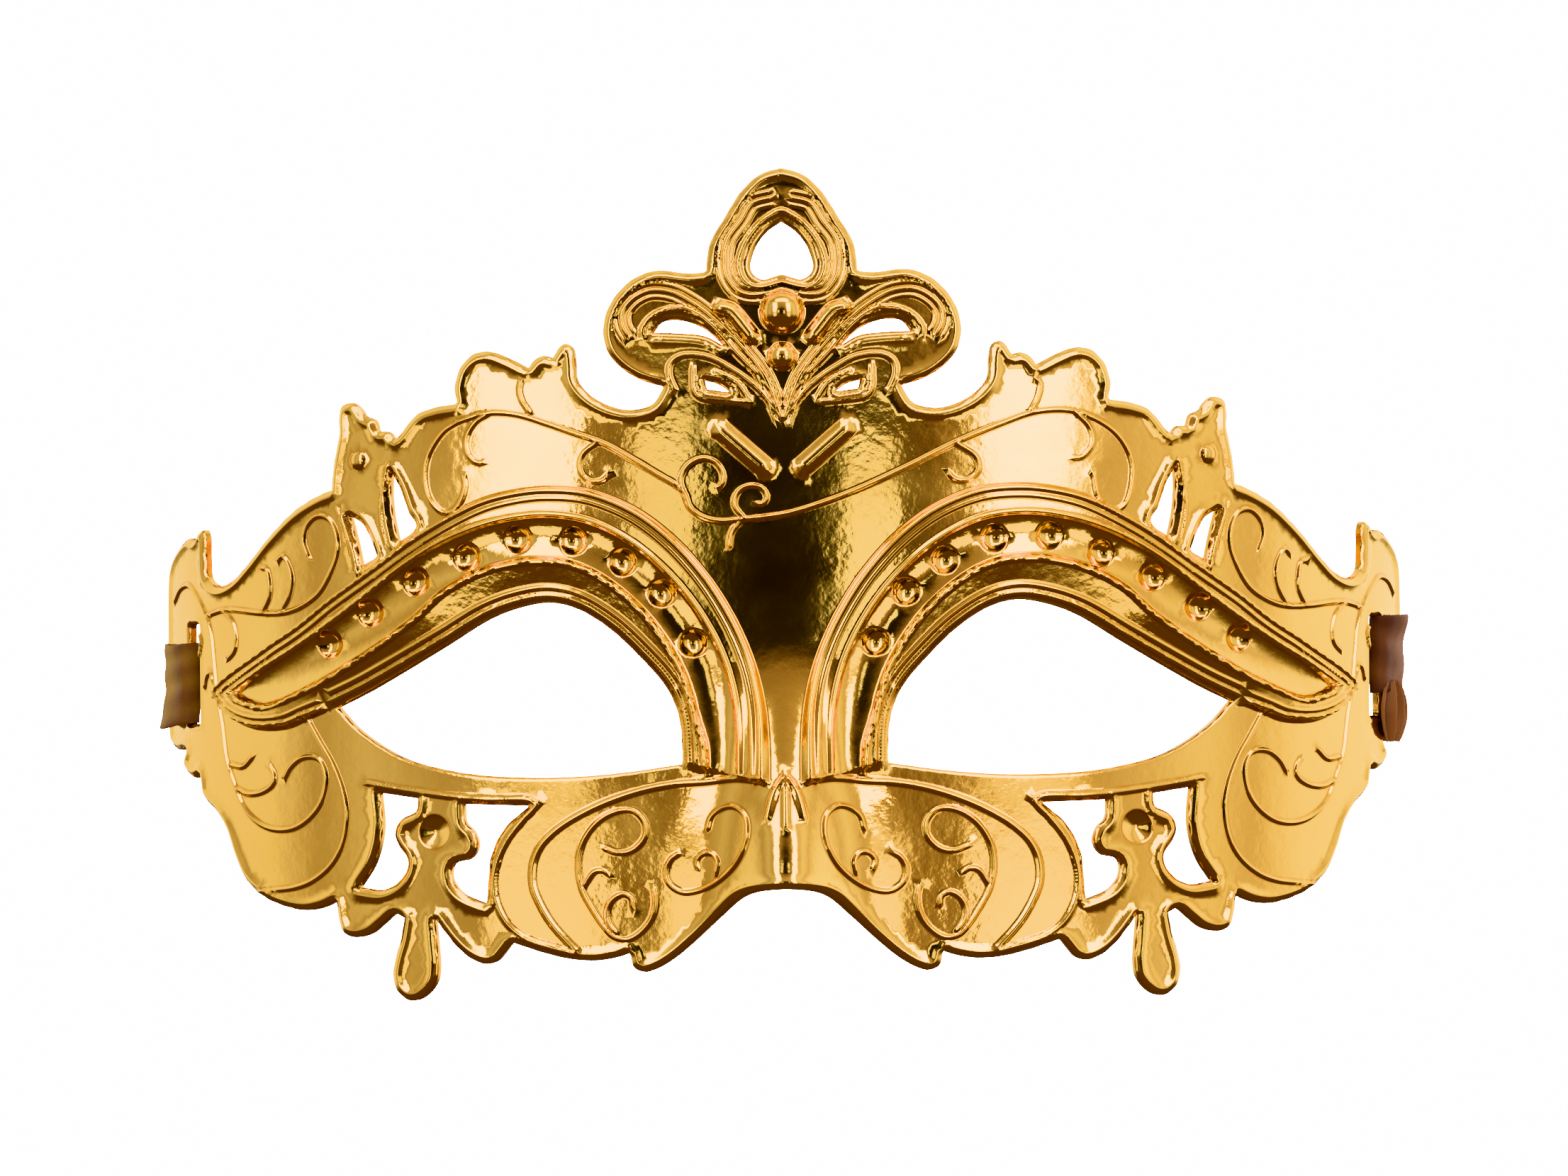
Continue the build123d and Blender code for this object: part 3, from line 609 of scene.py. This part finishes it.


# Height of the relief, and the strength of the painted crevice shade, at each point of the front
def reliefAt(points):
    base = np.zeros(len(points))
    ridgeTop = np.zeros(len(points))
    edgeDrop = np.zeros(len(points))
    creviceShade = np.zeros(len(points))
    for name, loop in edges:
        distance, _ = nearestOn(evenLoop(loop, meshing["reliefSpacing"]), points, 2.5)
        roundOver, place, halfWidth, high = edgeStyle[name]
        share = np.clip(distance / roundOver, 0, 1)
        edgeDrop = np.minimum(edgeDrop, -rounding["depth"] * (1 - np.sqrt(1 - (1 - share) ** 2)))
        creviceShade = np.maximum(creviceShade, np.clip(1 - distance / creviceShadeBand["rim"], 0, 1))
        if high:
            off = np.abs(distance - place) / halfWidth
            ridgeTop = np.maximum(ridgeTop, high * np.clip(1 - off * off, 0, 1) ** rounding["ridgePower"])
    for ridge in ridges:
        distance, which = nearestOn(ridge["line"], points, 1.5)
        share = np.clip(distance / ridge["halfWidth"], 0, 1)
        high = ridge["height"] * np.clip(1 - share * share, 0, 1) ** rounding["ridgePower"]
        off = np.abs(distance - ridge["halfWidth"] - creviceShadeBand["foot"])
        creviceShade = np.maximum(creviceShade, np.clip(1 - off / creviceShadeBand["reach"], 0, 1))
        if ridge["milledFrom"] is not None:
            along = which * lineSpacing
            milledFrom = unrolled(math.asin(browBand["milledFrom"] / wall["halfWidth"]))
            far = np.abs(ridge["line"][which, 0]) > milledFrom
            teeth = 0.72 + 0.28 * np.cos(2 * math.pi * along / browBand["milling"])
            high = high * np.where(far, teeth, 1.0)
        ridgeTop = np.maximum(ridgeTop, high)

    # Brow bands: a raised moulding with a cove round the eye and a dimpled channel
    for side in (1, -1):
        flip = np.array([side, 1.0])
        outer, upper, lower = browOuter[::6] * flip, browUpper[::6] * flip, browLower[::6] * flip
        eyeEdge = eyeUpper[::6] * flip
        inBand = insidePolygon(np.concatenate([outer, eyeEdge[::-1]]), points)
        inChannel = insidePolygon(np.concatenate([upper, lower[::-1]]), points)
        toOuter, toUpper, toLower, toEye = (
            nearestOn(line[::2] * flip, points, reach)[0]
            for line, reach in ((browOuter, 6.0), (browUpper, 9.0), (browLower, 9.0), (eyeUpper, 9.0)))
        rise = browBand["rise"] * np.where(inBand, 1.0, smooth(1 - toOuter / rounding["bandFoot"]))
        share = toUpper / (toUpper + toLower + 1e-6)
        channel = browBand["channelDepth"] * 4 * share * (1 - share)
        rise -= np.where(inChannel & inBand, channel, 0)
        share = toEye / (toEye + toLower + 1e-6)
        inCove = inBand & ~inChannel & (toLower < toUpper)
        slope = browBand["eyeRise"] + (browBand["coveTop"] - browBand["eyeRise"]) * share
        rise = np.where(inCove, slope, rise)
        base = np.maximum(base, rise)
    for centre, radius, high, kind in rounds:
        distance = np.hypot(points[:, 0] - centre[0], points[:, 1] - centre[1])
        share = np.clip(distance / radius, 0, 1)
        shape = np.sqrt(1 - share * share)
        if kind == "bowl":
            shape = (1 - share ** rounding["bowlPower"]) ** rounding["hollowPower"]
        elif kind == "cone":
            shape = (1 - share) ** rounding["hollowPower"]
        if high > 0:
            ridgeTop = np.maximum(ridgeTop, high * shape)
        else:
            base = base + high * shape
            ridgeTop = np.where(distance < radius, 0, ridgeTop)
        off = np.abs(distance - radius) / creviceShadeBand["round"]
        creviceShade = np.maximum(creviceShade, np.clip(1 - off, 0, 1))
    return base + ridgeTop + edgeDrop, creviceShade


relief, creviceShade = reliefAt(frontVerts)
print("relief from", round(float(relief.min()), 2), "to", round(float(relief.max()), 2))

# The back is plain, so it is meshed more openly, and the edge joins the two
cells, meshPoints = {}, []
for u, z in edgePoints:
    keepPoint(u, z)
for u, z in plain[insideWall(plain)][::2]:
    addPoint(u, z, meshing["plainStep"])
backVerts, backFaces, backOf = triangulate(meshPoints)
print("back triangles", len(backFaces))

frontPlaces = wallPoint(frontVerts[:, 0], frontVerts[:, 1], wall["thickness"] + relief) * mm
backPlaces = wallPoint(backVerts[:, 0], backVerts[:, 1], np.zeros(len(backVerts))) * mm
skin = bmesh.new()
# Painted amber shade for the gold: strongest along edges, at the feet of ridges and round the round details
creviceShadeLayer = skin.verts.layers.float.new("creviceShade")
frontMade = [skin.verts.new(p) for p in frontPlaces]
backMade = [skin.verts.new(p) for p in backPlaces]
for made, value in zip(frontMade, creviceShade):
    made[creviceShadeLayer] = value
for a, b, c in frontFaces:
    skin.faces.new((frontMade[a], frontMade[b], frontMade[c]))
for a, b, c in backFaces:
    skin.faces.new((backMade[c], backMade[b], backMade[a]))
for a, b in boundaryPairs:
    skin.faces.new((frontMade[frontOf[a]], frontMade[frontOf[b]], backMade[backOf[b]], backMade[backOf[a]]))
loose = [v for v in skin.verts if not v.link_faces]
bmesh.ops.delete(skin, geom=loose, context="VERTS")
bmesh.ops.recalc_face_normals(skin, faces=skin.faces)
for edge in skin.edges:
    if len({len(face.verts) for face in edge.link_faces}) == 2:      # the corner between a face and the rim
        edge.smooth = False
for face in skin.faces:
    face.smooth = True
openEdges = sum(1 for e in skin.edges if len(e.link_faces) != 2)
maskMesh = bpy.data.meshes.new("mask_moulding")
skin.to_mesh(maskMesh)
skin.free()
maskObject = addObject("mask_moulding", maskMesh)
triangles = len(frontFaces) + len(backFaces) + 2 * len(boundaryPairs)
print("moulding triangles", triangles, "open edges", openEdges)


def newMaterial(name):
    material = bpy.data.materials.new(name)
    material.use_nodes = True
    nodes = material.node_tree.nodes
    return material, nodes, material.node_tree.links, nodes["Principled BSDF"]


def setInputs(node, values):
    for socket, value in values.items():
        node.inputs[socket].default_value = value
    return node


def newGroup(name, takes, gives):
    group = bpy.data.node_groups.new(name, "ShaderNodeTree")
    for socket in takes:
        group.interface.new_socket(socket, in_out="INPUT", socket_type="NodeSocketFloat")
    group.interface.new_socket(gives, in_out="OUTPUT", socket_type="NodeSocketFloat")
    nodes = group.nodes
    return group, nodes, group.links, nodes.new("NodeGroupInput"), nodes.new("NodeGroupOutput")


# Noise on the object, between two values: shared by the gold and the ribbons
noiseTakes = ("Scale", "Low", "High")
noiseGroup, inner, innerLinks, groupIn, groupOut = newGroup("surface_noise", noiseTakes, "Value")
innerCoords = inner.new("ShaderNodeTexCoord")
innerNoise = setInputs(inner.new("ShaderNodeTexNoise"), {"Detail": 4.0})
innerRange = setInputs(inner.new("ShaderNodeMapRange"), {"From Min": 0.3, "From Max": 0.7})
innerLinks.new(innerCoords.outputs["Object"], innerNoise.inputs["Vector"])
innerLinks.new(groupIn.outputs["Scale"], innerNoise.inputs["Scale"])
innerLinks.new(innerNoise.outputs["Fac"], innerRange.inputs["Value"])
innerLinks.new(groupIn.outputs["Low"], innerRange.inputs["To Min"])
innerLinks.new(groupIn.outputs["High"], innerRange.inputs["To Max"])
innerLinks.new(innerRange.outputs["Result"], groupOut.inputs["Value"])


def surfaceNoise(nodes, scale, low, high):
    group = nodes.new("ShaderNodeGroup")
    group.node_tree = noiseGroup
    return setInputs(group, {"Scale": scale, "Low": low, "High": high}).outputs["Value"]


def mixColours(nodes, links, factor, first, second):
    mix = nodes.new("ShaderNodeMix")
    mix.data_type = "RGBA"
    for socket, value in (("Factor", factor), ("A", first), ("B", second)):
        if isinstance(value, (tuple, float)):
            mix.inputs[socket].default_value = value
        else:
            links.new(value, mix.inputs[socket])
    return mix.outputs["Result"]


def combine(nodes, links, operation, first, second):
    maths = nodes.new("ShaderNodeMath")
    maths.operation = operation
    maths.use_clamp = operation != "ADD"
    for place, value in enumerate((first, second)):
        if isinstance(value, float):
            maths.inputs[place].default_value = value
        else:
            links.new(value, maths.inputs[place])
    return maths.outputs["Value"]


def addBump(nodes, links, shader, height, strength, distance):
    bump = setInputs(nodes.new("ShaderNodeBump"), {"Strength": strength, "Distance": distance})
    links.new(height, bump.inputs["Height"])
    links.new(bump.outputs["Normal"], shader.inputs["Normal"])


# Mirror gold: a metallised plastic with a slight orange peel and tiny pits, and painted amber shade in its
# crevices, along its edges and at the feet of its ridges.
# A noise is its scale, then its lowest and highest value
gold = {"colour": (0.95, 0.63, 0.18, 1), "shadeAmber": (0.52, 0.17, 0.018, 1), "patch": (0.89, 0.51, 0.10, 1),
        "patches": (38.0, 0.0, 0.45), "shadeBreakup": (420.0, 0.35, 1.0), "creviceShadeStrength": 0.85,
        "roughness": (90.0, 0.05, 0.15), "peel": (150.0, 0.0, 1.0), "pits": (900.0, -0.12, 0.12),
        "bumpStrength": 0.05, "bumpDistance": 0.0008}
goldMaterial, nodes, links, shader = newMaterial("mirror_gold")
shader.inputs["Metallic"].default_value = 1.0
# Painted shade: the crevice value, broken up by a noise, mixes the gold towards amber
creviceShadeNode = nodes.new("ShaderNodeAttribute")
creviceShadeNode.attribute_name = "creviceShade"
brokenShade = combine(nodes, links, "MULTIPLY", creviceShadeNode.outputs["Fac"], surfaceNoise(nodes, *gold["shadeBreakup"]))
shadeAmount = combine(nodes, links, "MULTIPLY", brokenShade, gold["creviceShadeStrength"])
leaf = mixColours(nodes, links, surfaceNoise(nodes, *gold["patches"]), gold["colour"], gold["patch"])
links.new(mixColours(nodes, links, shadeAmount, leaf, gold["shadeAmber"]), shader.inputs["Base Color"])
links.new(surfaceNoise(nodes, *gold["roughness"]), shader.inputs["Roughness"])
peel, pits = surfaceNoise(nodes, *gold["peel"]), surfaceNoise(nodes, *gold["pits"])
goldHeight = combine(nodes, links, "ADD", peel, pits)
addBump(nodes, links, shader, goldHeight, gold["bumpStrength"], gold["bumpDistance"])
maskObject.data.materials.append(goldMaterial)
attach(maskObject, "mask")
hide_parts("mask_shell")
print("gold ready")

# Satin: floats of thread on a fine diagonal, drawn on the ribbon's own map in millimetres
satin = {
    # Each side's light colour is the lit satin and its dark colour the painted shade; the dark colour also
    # tints the thread flecks
    "left": {"light": (0.33, 0.18, 0.018, 1), "dark": (0.10, 0.032, 0.003, 1), "roughness": (0.40, 0.55)},
    "right": {"light": (0.25, 0.10, 0.035, 1), "dark": (0.060, 0.014, 0.004, 1), "roughness": (0.40, 0.58)},
    "threadPitch": 0.34, "threadDepth": 0.00006, "threadStrength": 0.35, "flecks": 0.35,
    "cloudedShade": (160.0, -0.18, 0.18), "roughnessScale": 300.0, "thickness": 0.22, "width": 11.0,
    "shader": {"Sheen Weight": 0.05, "Sheen Roughness": 0.35, "Anisotropic": 0.5, "Specular IOR Level": 0.3},
}
weaveGroup, inner, innerLinks, groupIn, groupOut = newGroup("satin_weave", ("Pitch",), "Threads")
innerMap = inner.new("ShaderNodeUVMap")
innerMap.uv_map = "weave"
innerWave = setInputs(inner.new("ShaderNodeTexWave"), {"Distortion": 0.6, "Detail": 1.0})
innerWave.wave_type = "BANDS"
innerWave.bands_direction = "DIAGONAL"
innerLinks.new(innerMap.outputs["UV"], innerWave.inputs["Vector"])
innerLinks.new(groupIn.outputs["Pitch"], innerWave.inputs["Scale"])
innerLinks.new(innerWave.outputs["Fac"], groupOut.inputs["Threads"])


def satinMaterial(side):
    look = satin[side]
    material, nodes, links, shader = newMaterial(side + "_satin")
    threads = nodes.new("ShaderNodeGroup")
    threads.node_tree = weaveGroup
    threads.inputs["Pitch"].default_value = 1 / satin["threadPitch"]
    # Painted shade from the shade attribute, clouded by a noise: darker in folds, puckers and near the slot,
    # lighter on fold crests
    depth = nodes.new("ShaderNodeAttribute")
    depth.attribute_name = "shade"
    cloudedShade = combine(nodes, links, "ADD", depth.outputs["Fac"], surfaceNoise(nodes, *satin["cloudedShade"]))
    shade = combine(nodes, links, "MAXIMUM", cloudedShade, 0.0)
    cloth = mixColours(nodes, links, shade, look["light"], look["dark"])
    flecks = combine(nodes, links, "MULTIPLY", threads.outputs["Threads"], satin["flecks"])
    links.new(mixColours(nodes, links, flecks, cloth, look["dark"]), shader.inputs["Base Color"])
    links.new(surfaceNoise(nodes, satin["roughnessScale"], *look["roughness"]), shader.inputs["Roughness"])
    setInputs(shader, satin["shader"])
    addBump(nodes, links, shader, threads.outputs["Threads"], satin["threadStrength"], satin["threadDepth"])
    return material


satinLooks = {side: satinMaterial(side) for side in ("left", "right")}


# A ribbon as a grid laid where placeAt puts it, with its map in millimetres and a painted shade that placeAt
# gives each point
def strip(build, across, along, length, placeAt):
    weave = build.loops.layers.uv.verify()
    shade = build.verts.layers.float.get("shade") or build.verts.layers.float.new("shade")
    made = bmesh.ops.create_grid(build, x_segments=across, y_segments=along, size=0.5)["verts"]
    for face in {face for vert in made for face in vert.link_faces}:
        face.smooth = True
        for loop in face.loops:
            loop[weave].uv = ((loop.vert.co.x + 0.5) * satin["width"], (loop.vert.co.y + 0.5) * length)
    for vert in made:
        place, dark = placeAt(vert.co.x + 0.5, vert.co.y + 0.5)
        vert.co = Vector(place) * mm
        vert[shade] = dark


def ribbonPiece(name, side, body, node, build):
    mesh = bpy.data.meshes.new(name)
    build.to_mesh(mesh)
    build.free()
    mesh.uv_layers[0].name = "weave"
    piece = addObject(name, mesh)
    cloth = piece.modifiers.new("cloth", "SOLIDIFY")
    cloth.thickness = satin["thickness"] * mm
    cloth.offset = 0.0
    cloth.use_even_offset = False
    mesh.materials.append(satinLooks[side])
    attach(piece, body)
    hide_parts(node)
    print(name, "ready")


# The bar between the slot and the wing end: ribbons are placed by distance from its middle and rise from
# the inner face. The bar reaches from -3.15 at the slot to 4.75 at the wing end
barAngle = 75.25
barRun = float(unrolled(math.radians(barAngle)))


def onBar(sign, run, z, rise):
    place = wallPoint(barRun + run, z, rise)
    return (float(place[0]) * sign, float(place[1]), float(place[2]))


def pathOf(points):
    samples = curveThrough(points, 0.05)
    along = np.concatenate([[0.0], np.cumsum(np.linalg.norm(np.diff(samples, axis=0), axis=1))])
    share = along / along[-1]
    return lambda t: (float(np.interp(t, share, samples[:, 0])), float(np.interp(t, share, samples[:, 1])))


# Loops: from behind, out through the slot, over the front of the bar, round its end and back
loopStart = [(1.6, -0.55), (-1.0, -0.5), (-3.0, -0.45), (-3.65, 0.1), (-3.7, 1.0)]
loopEnd = [(5.3, 1.2), (5.35, 0.3), (4.6, -0.5), (2.6, -0.75), (0.6, -0.85)]
loopShape = {"frontAt": 0.52, "frontWidth": 0.17, "lowWidth": 0.2, "highWidth": 0.22, "flareRun": 0.6,
             "pleatRise": 0.11, "pleatLean": 5, "length": 24.0}
loops = {
    "left": {"front": [(-3.1, 1.85), (-1.0, 2.05), (1.8, 2.1), (4.2, 1.95)], "low": -3.2, "high": 7.7,
             "flareLow": 1.15, "flareHigh": 0.0, "pleats": 3.0, "sag": 0.9},
    "right": {"front": [(-3.1, 1.8), (-1.0, 2.1), (1.8, 2.15), (4.2, 1.9)], "low": -0.4, "high": 10.2,
              "flareLow": -0.25, "flareHigh": 0.95, "pleats": 2.0, "sag": -0.5},
}


def loopPlace(side):
    look, sign = loops[side], 1 if side == "right" else -1
    path = pathOf(loopStart + look["front"] + loopEnd)

    def placeAt(across, along):
        run, rise = path(along)
        front = math.exp(-((along - loopShape["frontAt"]) / loopShape["frontWidth"]) ** 2)
        low = math.exp(-(across / loopShape["lowWidth"]) ** 2)
        high = math.exp(-((1 - across) / loopShape["highWidth"]) ** 2)
        flare = look["flareLow"] * low + look["flareHigh"] * high
        rise += front * flare
        run += front * loopShape["flareRun"] * flare
        pleat = math.sin(2 * math.pi * look["pleats"] * across + loopShape["pleatLean"] * along)
        rise += loopShape["pleatRise"] * pleat * (0.35 + front)
        z = look["low"] + (look["high"] - look["low"]) * across - look["sag"] * front * (low + 0.4 * high)
        # Painted shade: darker on the part behind the bar and in the slot, under the flared lower edge at the
        # front, and along the pleats
        dark = 0.85 - 0.8 * smooth((along - 0.34) / 0.24) + 0.35 * low * front + 0.12 * pleat
        return onBar(sign, run, z, rise), float(dark)

    return placeAt


for side in ("left", "right"):
    build = bmesh.new()
    strip(build, 26, 84, loopShape["length"], loopPlace(side))
    ribbonPiece(side + "_loop_ribbon", side, "mask", side + "_ribbon_loop", build)

# Knots behind the bar: the ribbon wound round itself, pinched in the middle
ribbonSides = (("left", -1, 2.5), ("right", 1, 4.3))     # which side, its sign and the height of its knot
knot = {"middleRun": 0.95, "halfWidth": 1.75, "halfThickness": 0.95, "rise": -2.05, "height": 6.6,
        "turns": 2.1, "grow": (0.72, 0.28), "puckers": 5, "pucker": 0.27, "pinch": (0.86, 0.14),
        "wander": 0.35}
for side, sign, middle in ribbonSides:
    def knotPlace(across, along):
        turn = 2 * math.pi * knot["turns"] * along
        grow = knot["grow"][0] + knot["grow"][1] * along
        pucker = math.sin(2 * math.pi * knot["puckers"] * across + 2 * turn)
        run = knot["middleRun"] + (knot["halfWidth"] * grow + knot["pucker"] * pucker) * math.cos(turn)
        rise = knot["rise"] + (knot["halfThickness"] * grow + knot["pucker"] * pucker) * math.sin(turn)
        pinch = knot["pinch"][0] + knot["pinch"][1] * abs(math.cos(turn))
        z = middle + knot["height"] * (across - 0.5) * pinch + knot["wander"] * math.sin(turn)
        # Painted shade: darker or lighter with each pucker
        return onBar(sign, run, z, rise), 0.45 + 0.3 * pucker

    build = bmesh.new()
    strip(build, 36, 64, 15.0, knotPlace)
    ribbonPiece(side + "_knot_ribbon", side, "mask", side + "_ribbon_knot", build)

# The right ribbon is gathered into a puckered lump under its loop
fold = {"top": 1.0, "bottom": -7.0, "folds": 3.5, "halfWidth": 4.0, "depth": 1.3, "rise": 1.75,
        "middleRun": -0.4, "lean": 0.9, "sway": 0.35, "bulge": 0.4, "tilt": 0.25}


def foldPlace(across, along):
    fullness = 0.42 + 0.75 * math.sin(math.pi * min(1.0, along * 0.92 + 0.05)) ** 0.8
    swing = 2 * math.pi * fold["folds"] * across + fold["lean"] * along
    crest = 0.5 + 0.5 * math.sin(swing)
    run = fold["middleRun"] + fold["halfWidth"] * (2 * across - 1) * fullness
    run += fold["sway"] * math.cos(swing) * fullness
    belly = 1 - (2 * across - 1) ** 2
    rise = fold["rise"] + fold["depth"] * crest * fullness * (0.4 + 0.6 * belly) - fold["tilt"] * (1 - across)
    z = fold["top"] + (fold["bottom"] - fold["top"]) * along + fold["bulge"] * belly * (1 - along)
    # Painted shade: fold crests lighter, hollows darker
    return onBar(1, run, z, rise), 0.75 - 0.85 * crest


build = bmesh.new()
strip(build, 84, 22, 8.0, foldPlace)
ribbonPiece("right_fold_ribbon", "right", "mask", "right_ribbon_fold", build)

# Tails: the long end of each ribbon folded to and fro into a hank, with its last turn round the middle
tail = {"pivot": (75.5559, 50.3906), "tip": (64.06, 27.78), "layers": 15, "pitch": 0.36, "from": -2.3,
        "to": 19.3, "halfWidth": 5.2, "bandPlace": 8.6, "bandHalf": 2.4, "bandSideways": 2.68,
        "bandUpright": 5.22,
        "creases": 5, "crease": 0.08, "waistWidth": 3.0, "waist": 0.04, "waistUpright": 0.06, "ripple": 0.05}
runway = Vector((tail["tip"][0] - tail["pivot"][0], tail["tip"][1] - tail["pivot"][1])).normalized()


def hankPath():
    points = []
    for layer in range(tail["layers"]):
        off = (layer - (tail["layers"] - 1) / 2) * tail["pitch"]
        near = tail["from"] + 0.5 * (1 - math.cos(1.9 * layer)) * 0.5 + 0.035 * off * off
        far = tail["to"] - 0.5 * (1 - math.cos(2.7 * layer)) * 0.7 - 0.05 * off * off
        run = [(near + (far - near) * k / 9, off) for k in range(10)]
        points += run if layer % 2 == 0 else run[::-1]
        if layer < tail["layers"] - 1:
            outwards = 1 if layer % 2 == 0 else -1
            points.append((points[-1][0] + outwards * tail["pitch"] * 0.6, off + tail["pitch"] / 2))
    return points


hank = pathOf(hankPath())


def tailSpot(sign, forward, sideways, z):
    x = tail["pivot"][0] + runway.x * forward - runway.y * sideways
    y = tail["pivot"][1] + runway.y * forward + runway.x * sideways
    return (x * sign, y, z)


for side, sign, middle in ribbonSides:
    def hankPlace(across, along):
        forward, sideways = hank(along)
        waist = math.exp(-((forward - tail["bandPlace"]) / tail["waistWidth"]) ** 2)
        ripple = tail["ripple"] * math.sin(0.9 * forward + 6 * across)
        z = middle + tail["halfWidth"] * (2 * across - 1) * (1 - tail["waistUpright"] * waist)
        sideways = sideways * (1 - tail["waist"] * waist) + ripple
        return tailSpot(sign, forward, sideways, z), 0.35 + 0.25 * math.sin(0.5 * forward)

    def bandPlace(across, along):
        turn = 2 * math.pi * along
        squareness = max(abs(math.cos(turn)) ** 4 + abs(math.sin(turn)) ** 4, 1e-6) ** -0.25
        crease = math.sin(2 * math.pi * tail["creases"] * across)
        sideways = (tail["bandSideways"] + tail["crease"] * crease) * squareness * math.cos(turn)
        z = middle + (tail["bandUpright"] + tail["crease"] * crease) * squareness * math.sin(turn)
        forward = tail["bandPlace"] + tail["bandHalf"] * (2 * across - 1)
        # Painted shade: lighter and darker along the creases
        return tailSpot(sign, forward, sideways, z), 0.3 - 0.35 * crease

    build = bmesh.new()
    strip(build, 8, 420, 330.0, hankPlace)
    strip(build, 30, 56, 30.0, bandPlace)
    ribbonPiece(side + "_tail_ribbon", side, side + "_tail", side + "_ribbon_tail", build)

# Plain pale floor and a studio: bright to the sides and above, dark behind the camera
floor = {"level": -0.09, "size": 0.6}
floorMesh = bpy.data.meshes.new("floor")
floorBuild = bmesh.new()
bmesh.ops.create_grid(floorBuild, x_segments=2, y_segments=2, size=floor["size"])
bmesh.ops.translate(floorBuild, verts=floorBuild.verts, vec=(0, 0, floor["level"]))
floorBuild.to_mesh(floorMesh)
floorBuild.free()
floorObject = addObject("floor", floorMesh)
floorMaterial, nodes, links, shader = newMaterial("pale_floor")
setInputs(shader, {"Base Color": (0.9, 0.9, 0.9, 1), "Roughness": 0.8})
floorObject.data.materials.append(floorMaterial)
floorObject.visible_glossy = False

# Each softbox stands at an angle from the view, in degrees across and up, and has a width and a height
softboxes = {
    "left": {"across": -38, "up": 22, "size": (0.46, 1.10), "power": 10.0},
    "leftFill": {"across": -17, "up": 2, "size": (0.26, 0.36), "power": 0.36},
    "leftLow": {"across": -36, "up": -11, "size": (0.46, 0.50), "power": 1.0},
    "right": {"across": 36, "up": 22, "size": (0.42, 1.05), "power": 9.6},
    "rightLow": {"across": 36, "up": -11, "size": (0.42, 0.50), "power": 1.0},
    "strip": {"across": 12, "up": 0, "size": (0.20, 0.40), "power": 0.42},
    "above": {"across": 0, "up": 62, "size": (1.5, 0.5), "power": 12},
}
softboxDistance = 1.5
for name, box in softboxes.items():
    light = bpy.data.lights.new(name, "AREA")
    light.shape = "RECTANGLE"
    light.size, light.size_y = box["size"]
    light.energy = box["power"]
    lamp = addObject(name, light)
    across, up = math.radians(box["across"]), math.radians(box["up"])
    away = Vector((math.sin(across) * math.cos(up), -math.cos(across) * math.cos(up), math.sin(up)))
    lamp.location = away * softboxDistance
    lamp.rotation_euler = (-away).to_track_quat("-Z", "Y").to_euler()

world = bpy.data.worlds.new("studio")
bpy.context.scene.world = world
world.use_nodes = True
nodes, links = world.node_tree.nodes, world.node_tree.links
background = nodes["Background"]
direction = nodes.new("ShaderNodeTexCoord")
split = nodes.new("ShaderNodeSeparateXYZ")
links.new(direction.outputs["Generated"], split.inputs["Vector"])
ramp = nodes.new("ShaderNodeValToRGB")
# The surround from in front to behind, as place and brightness, and the limits of its other changes
studio = {"surround": [(0.0, 0.012), (0.014, 0.02), (0.028, 0.12), (0.05, 0.34), (0.16, 0.55), (0.30, 0.85),
                       (0.40, 0.62), (0.52, 1.15), (0.72, 1.3), (0.93, 1.45), (0.97, 0.3), (1.0, 0.06)],
          "brownBelow": (0.10, 0.045, 0.014, 1), "behind": (14, 14, 14, 1), "warmTo": 0.9,
          "sides": (-0.7, 0.7, 0.85, 1.25), "below": (-0.42, -0.10, 0.0, 1.0)}
while len(ramp.color_ramp.elements) < len(studio["surround"]):
    ramp.color_ramp.elements.new(0.5)
for stop, (place, level) in zip(ramp.color_ramp.elements, studio["surround"]):
    warm = min(1.0, level / studio["warmTo"])
    stop.position = place
    stop.color = (level, level * (0.60 + 0.37 * warm), level * (0.45 + 0.48 * warm), 1)
halfUp = setInputs(nodes.new("ShaderNodeMath"), {1: 0.5, 2: 0.5})
halfUp.operation = "MULTIPLY_ADD"
links.new(split.outputs["Y"], halfUp.inputs[0])
links.new(halfUp.outputs["Value"], ramp.inputs["Fac"])


def rangeOf(socket, fromLow, fromHigh, low, high):
    node = setInputs(nodes.new("ShaderNodeMapRange"),
                     {"From Min": fromLow, "From Max": fromHigh, "To Min": low, "To Max": high})
    node.interpolation_type = "SMOOTHSTEP"
    links.new(socket, node.inputs["Value"])
    return node.outputs["Result"]


scaled = nodes.new("ShaderNodeVectorMath")
scaled.operation = "SCALE"
links.new(ramp.outputs["Color"], scaled.inputs[0])
links.new(rangeOf(split.outputs["X"], *studio["sides"]), scaled.inputs["Scale"])
below = rangeOf(split.outputs["Z"], *studio["below"])
around = mixColours(nodes, links, below, studio["brownBelow"], scaled.outputs["Vector"])
path = nodes.new("ShaderNodeLightPath")
seen = mixColours(nodes, links, path.outputs["Is Camera Ray"], around, studio["behind"])
links.new(seen, background.inputs["Color"])
background.inputs["Strength"].default_value = 1.0
print("studio ready")
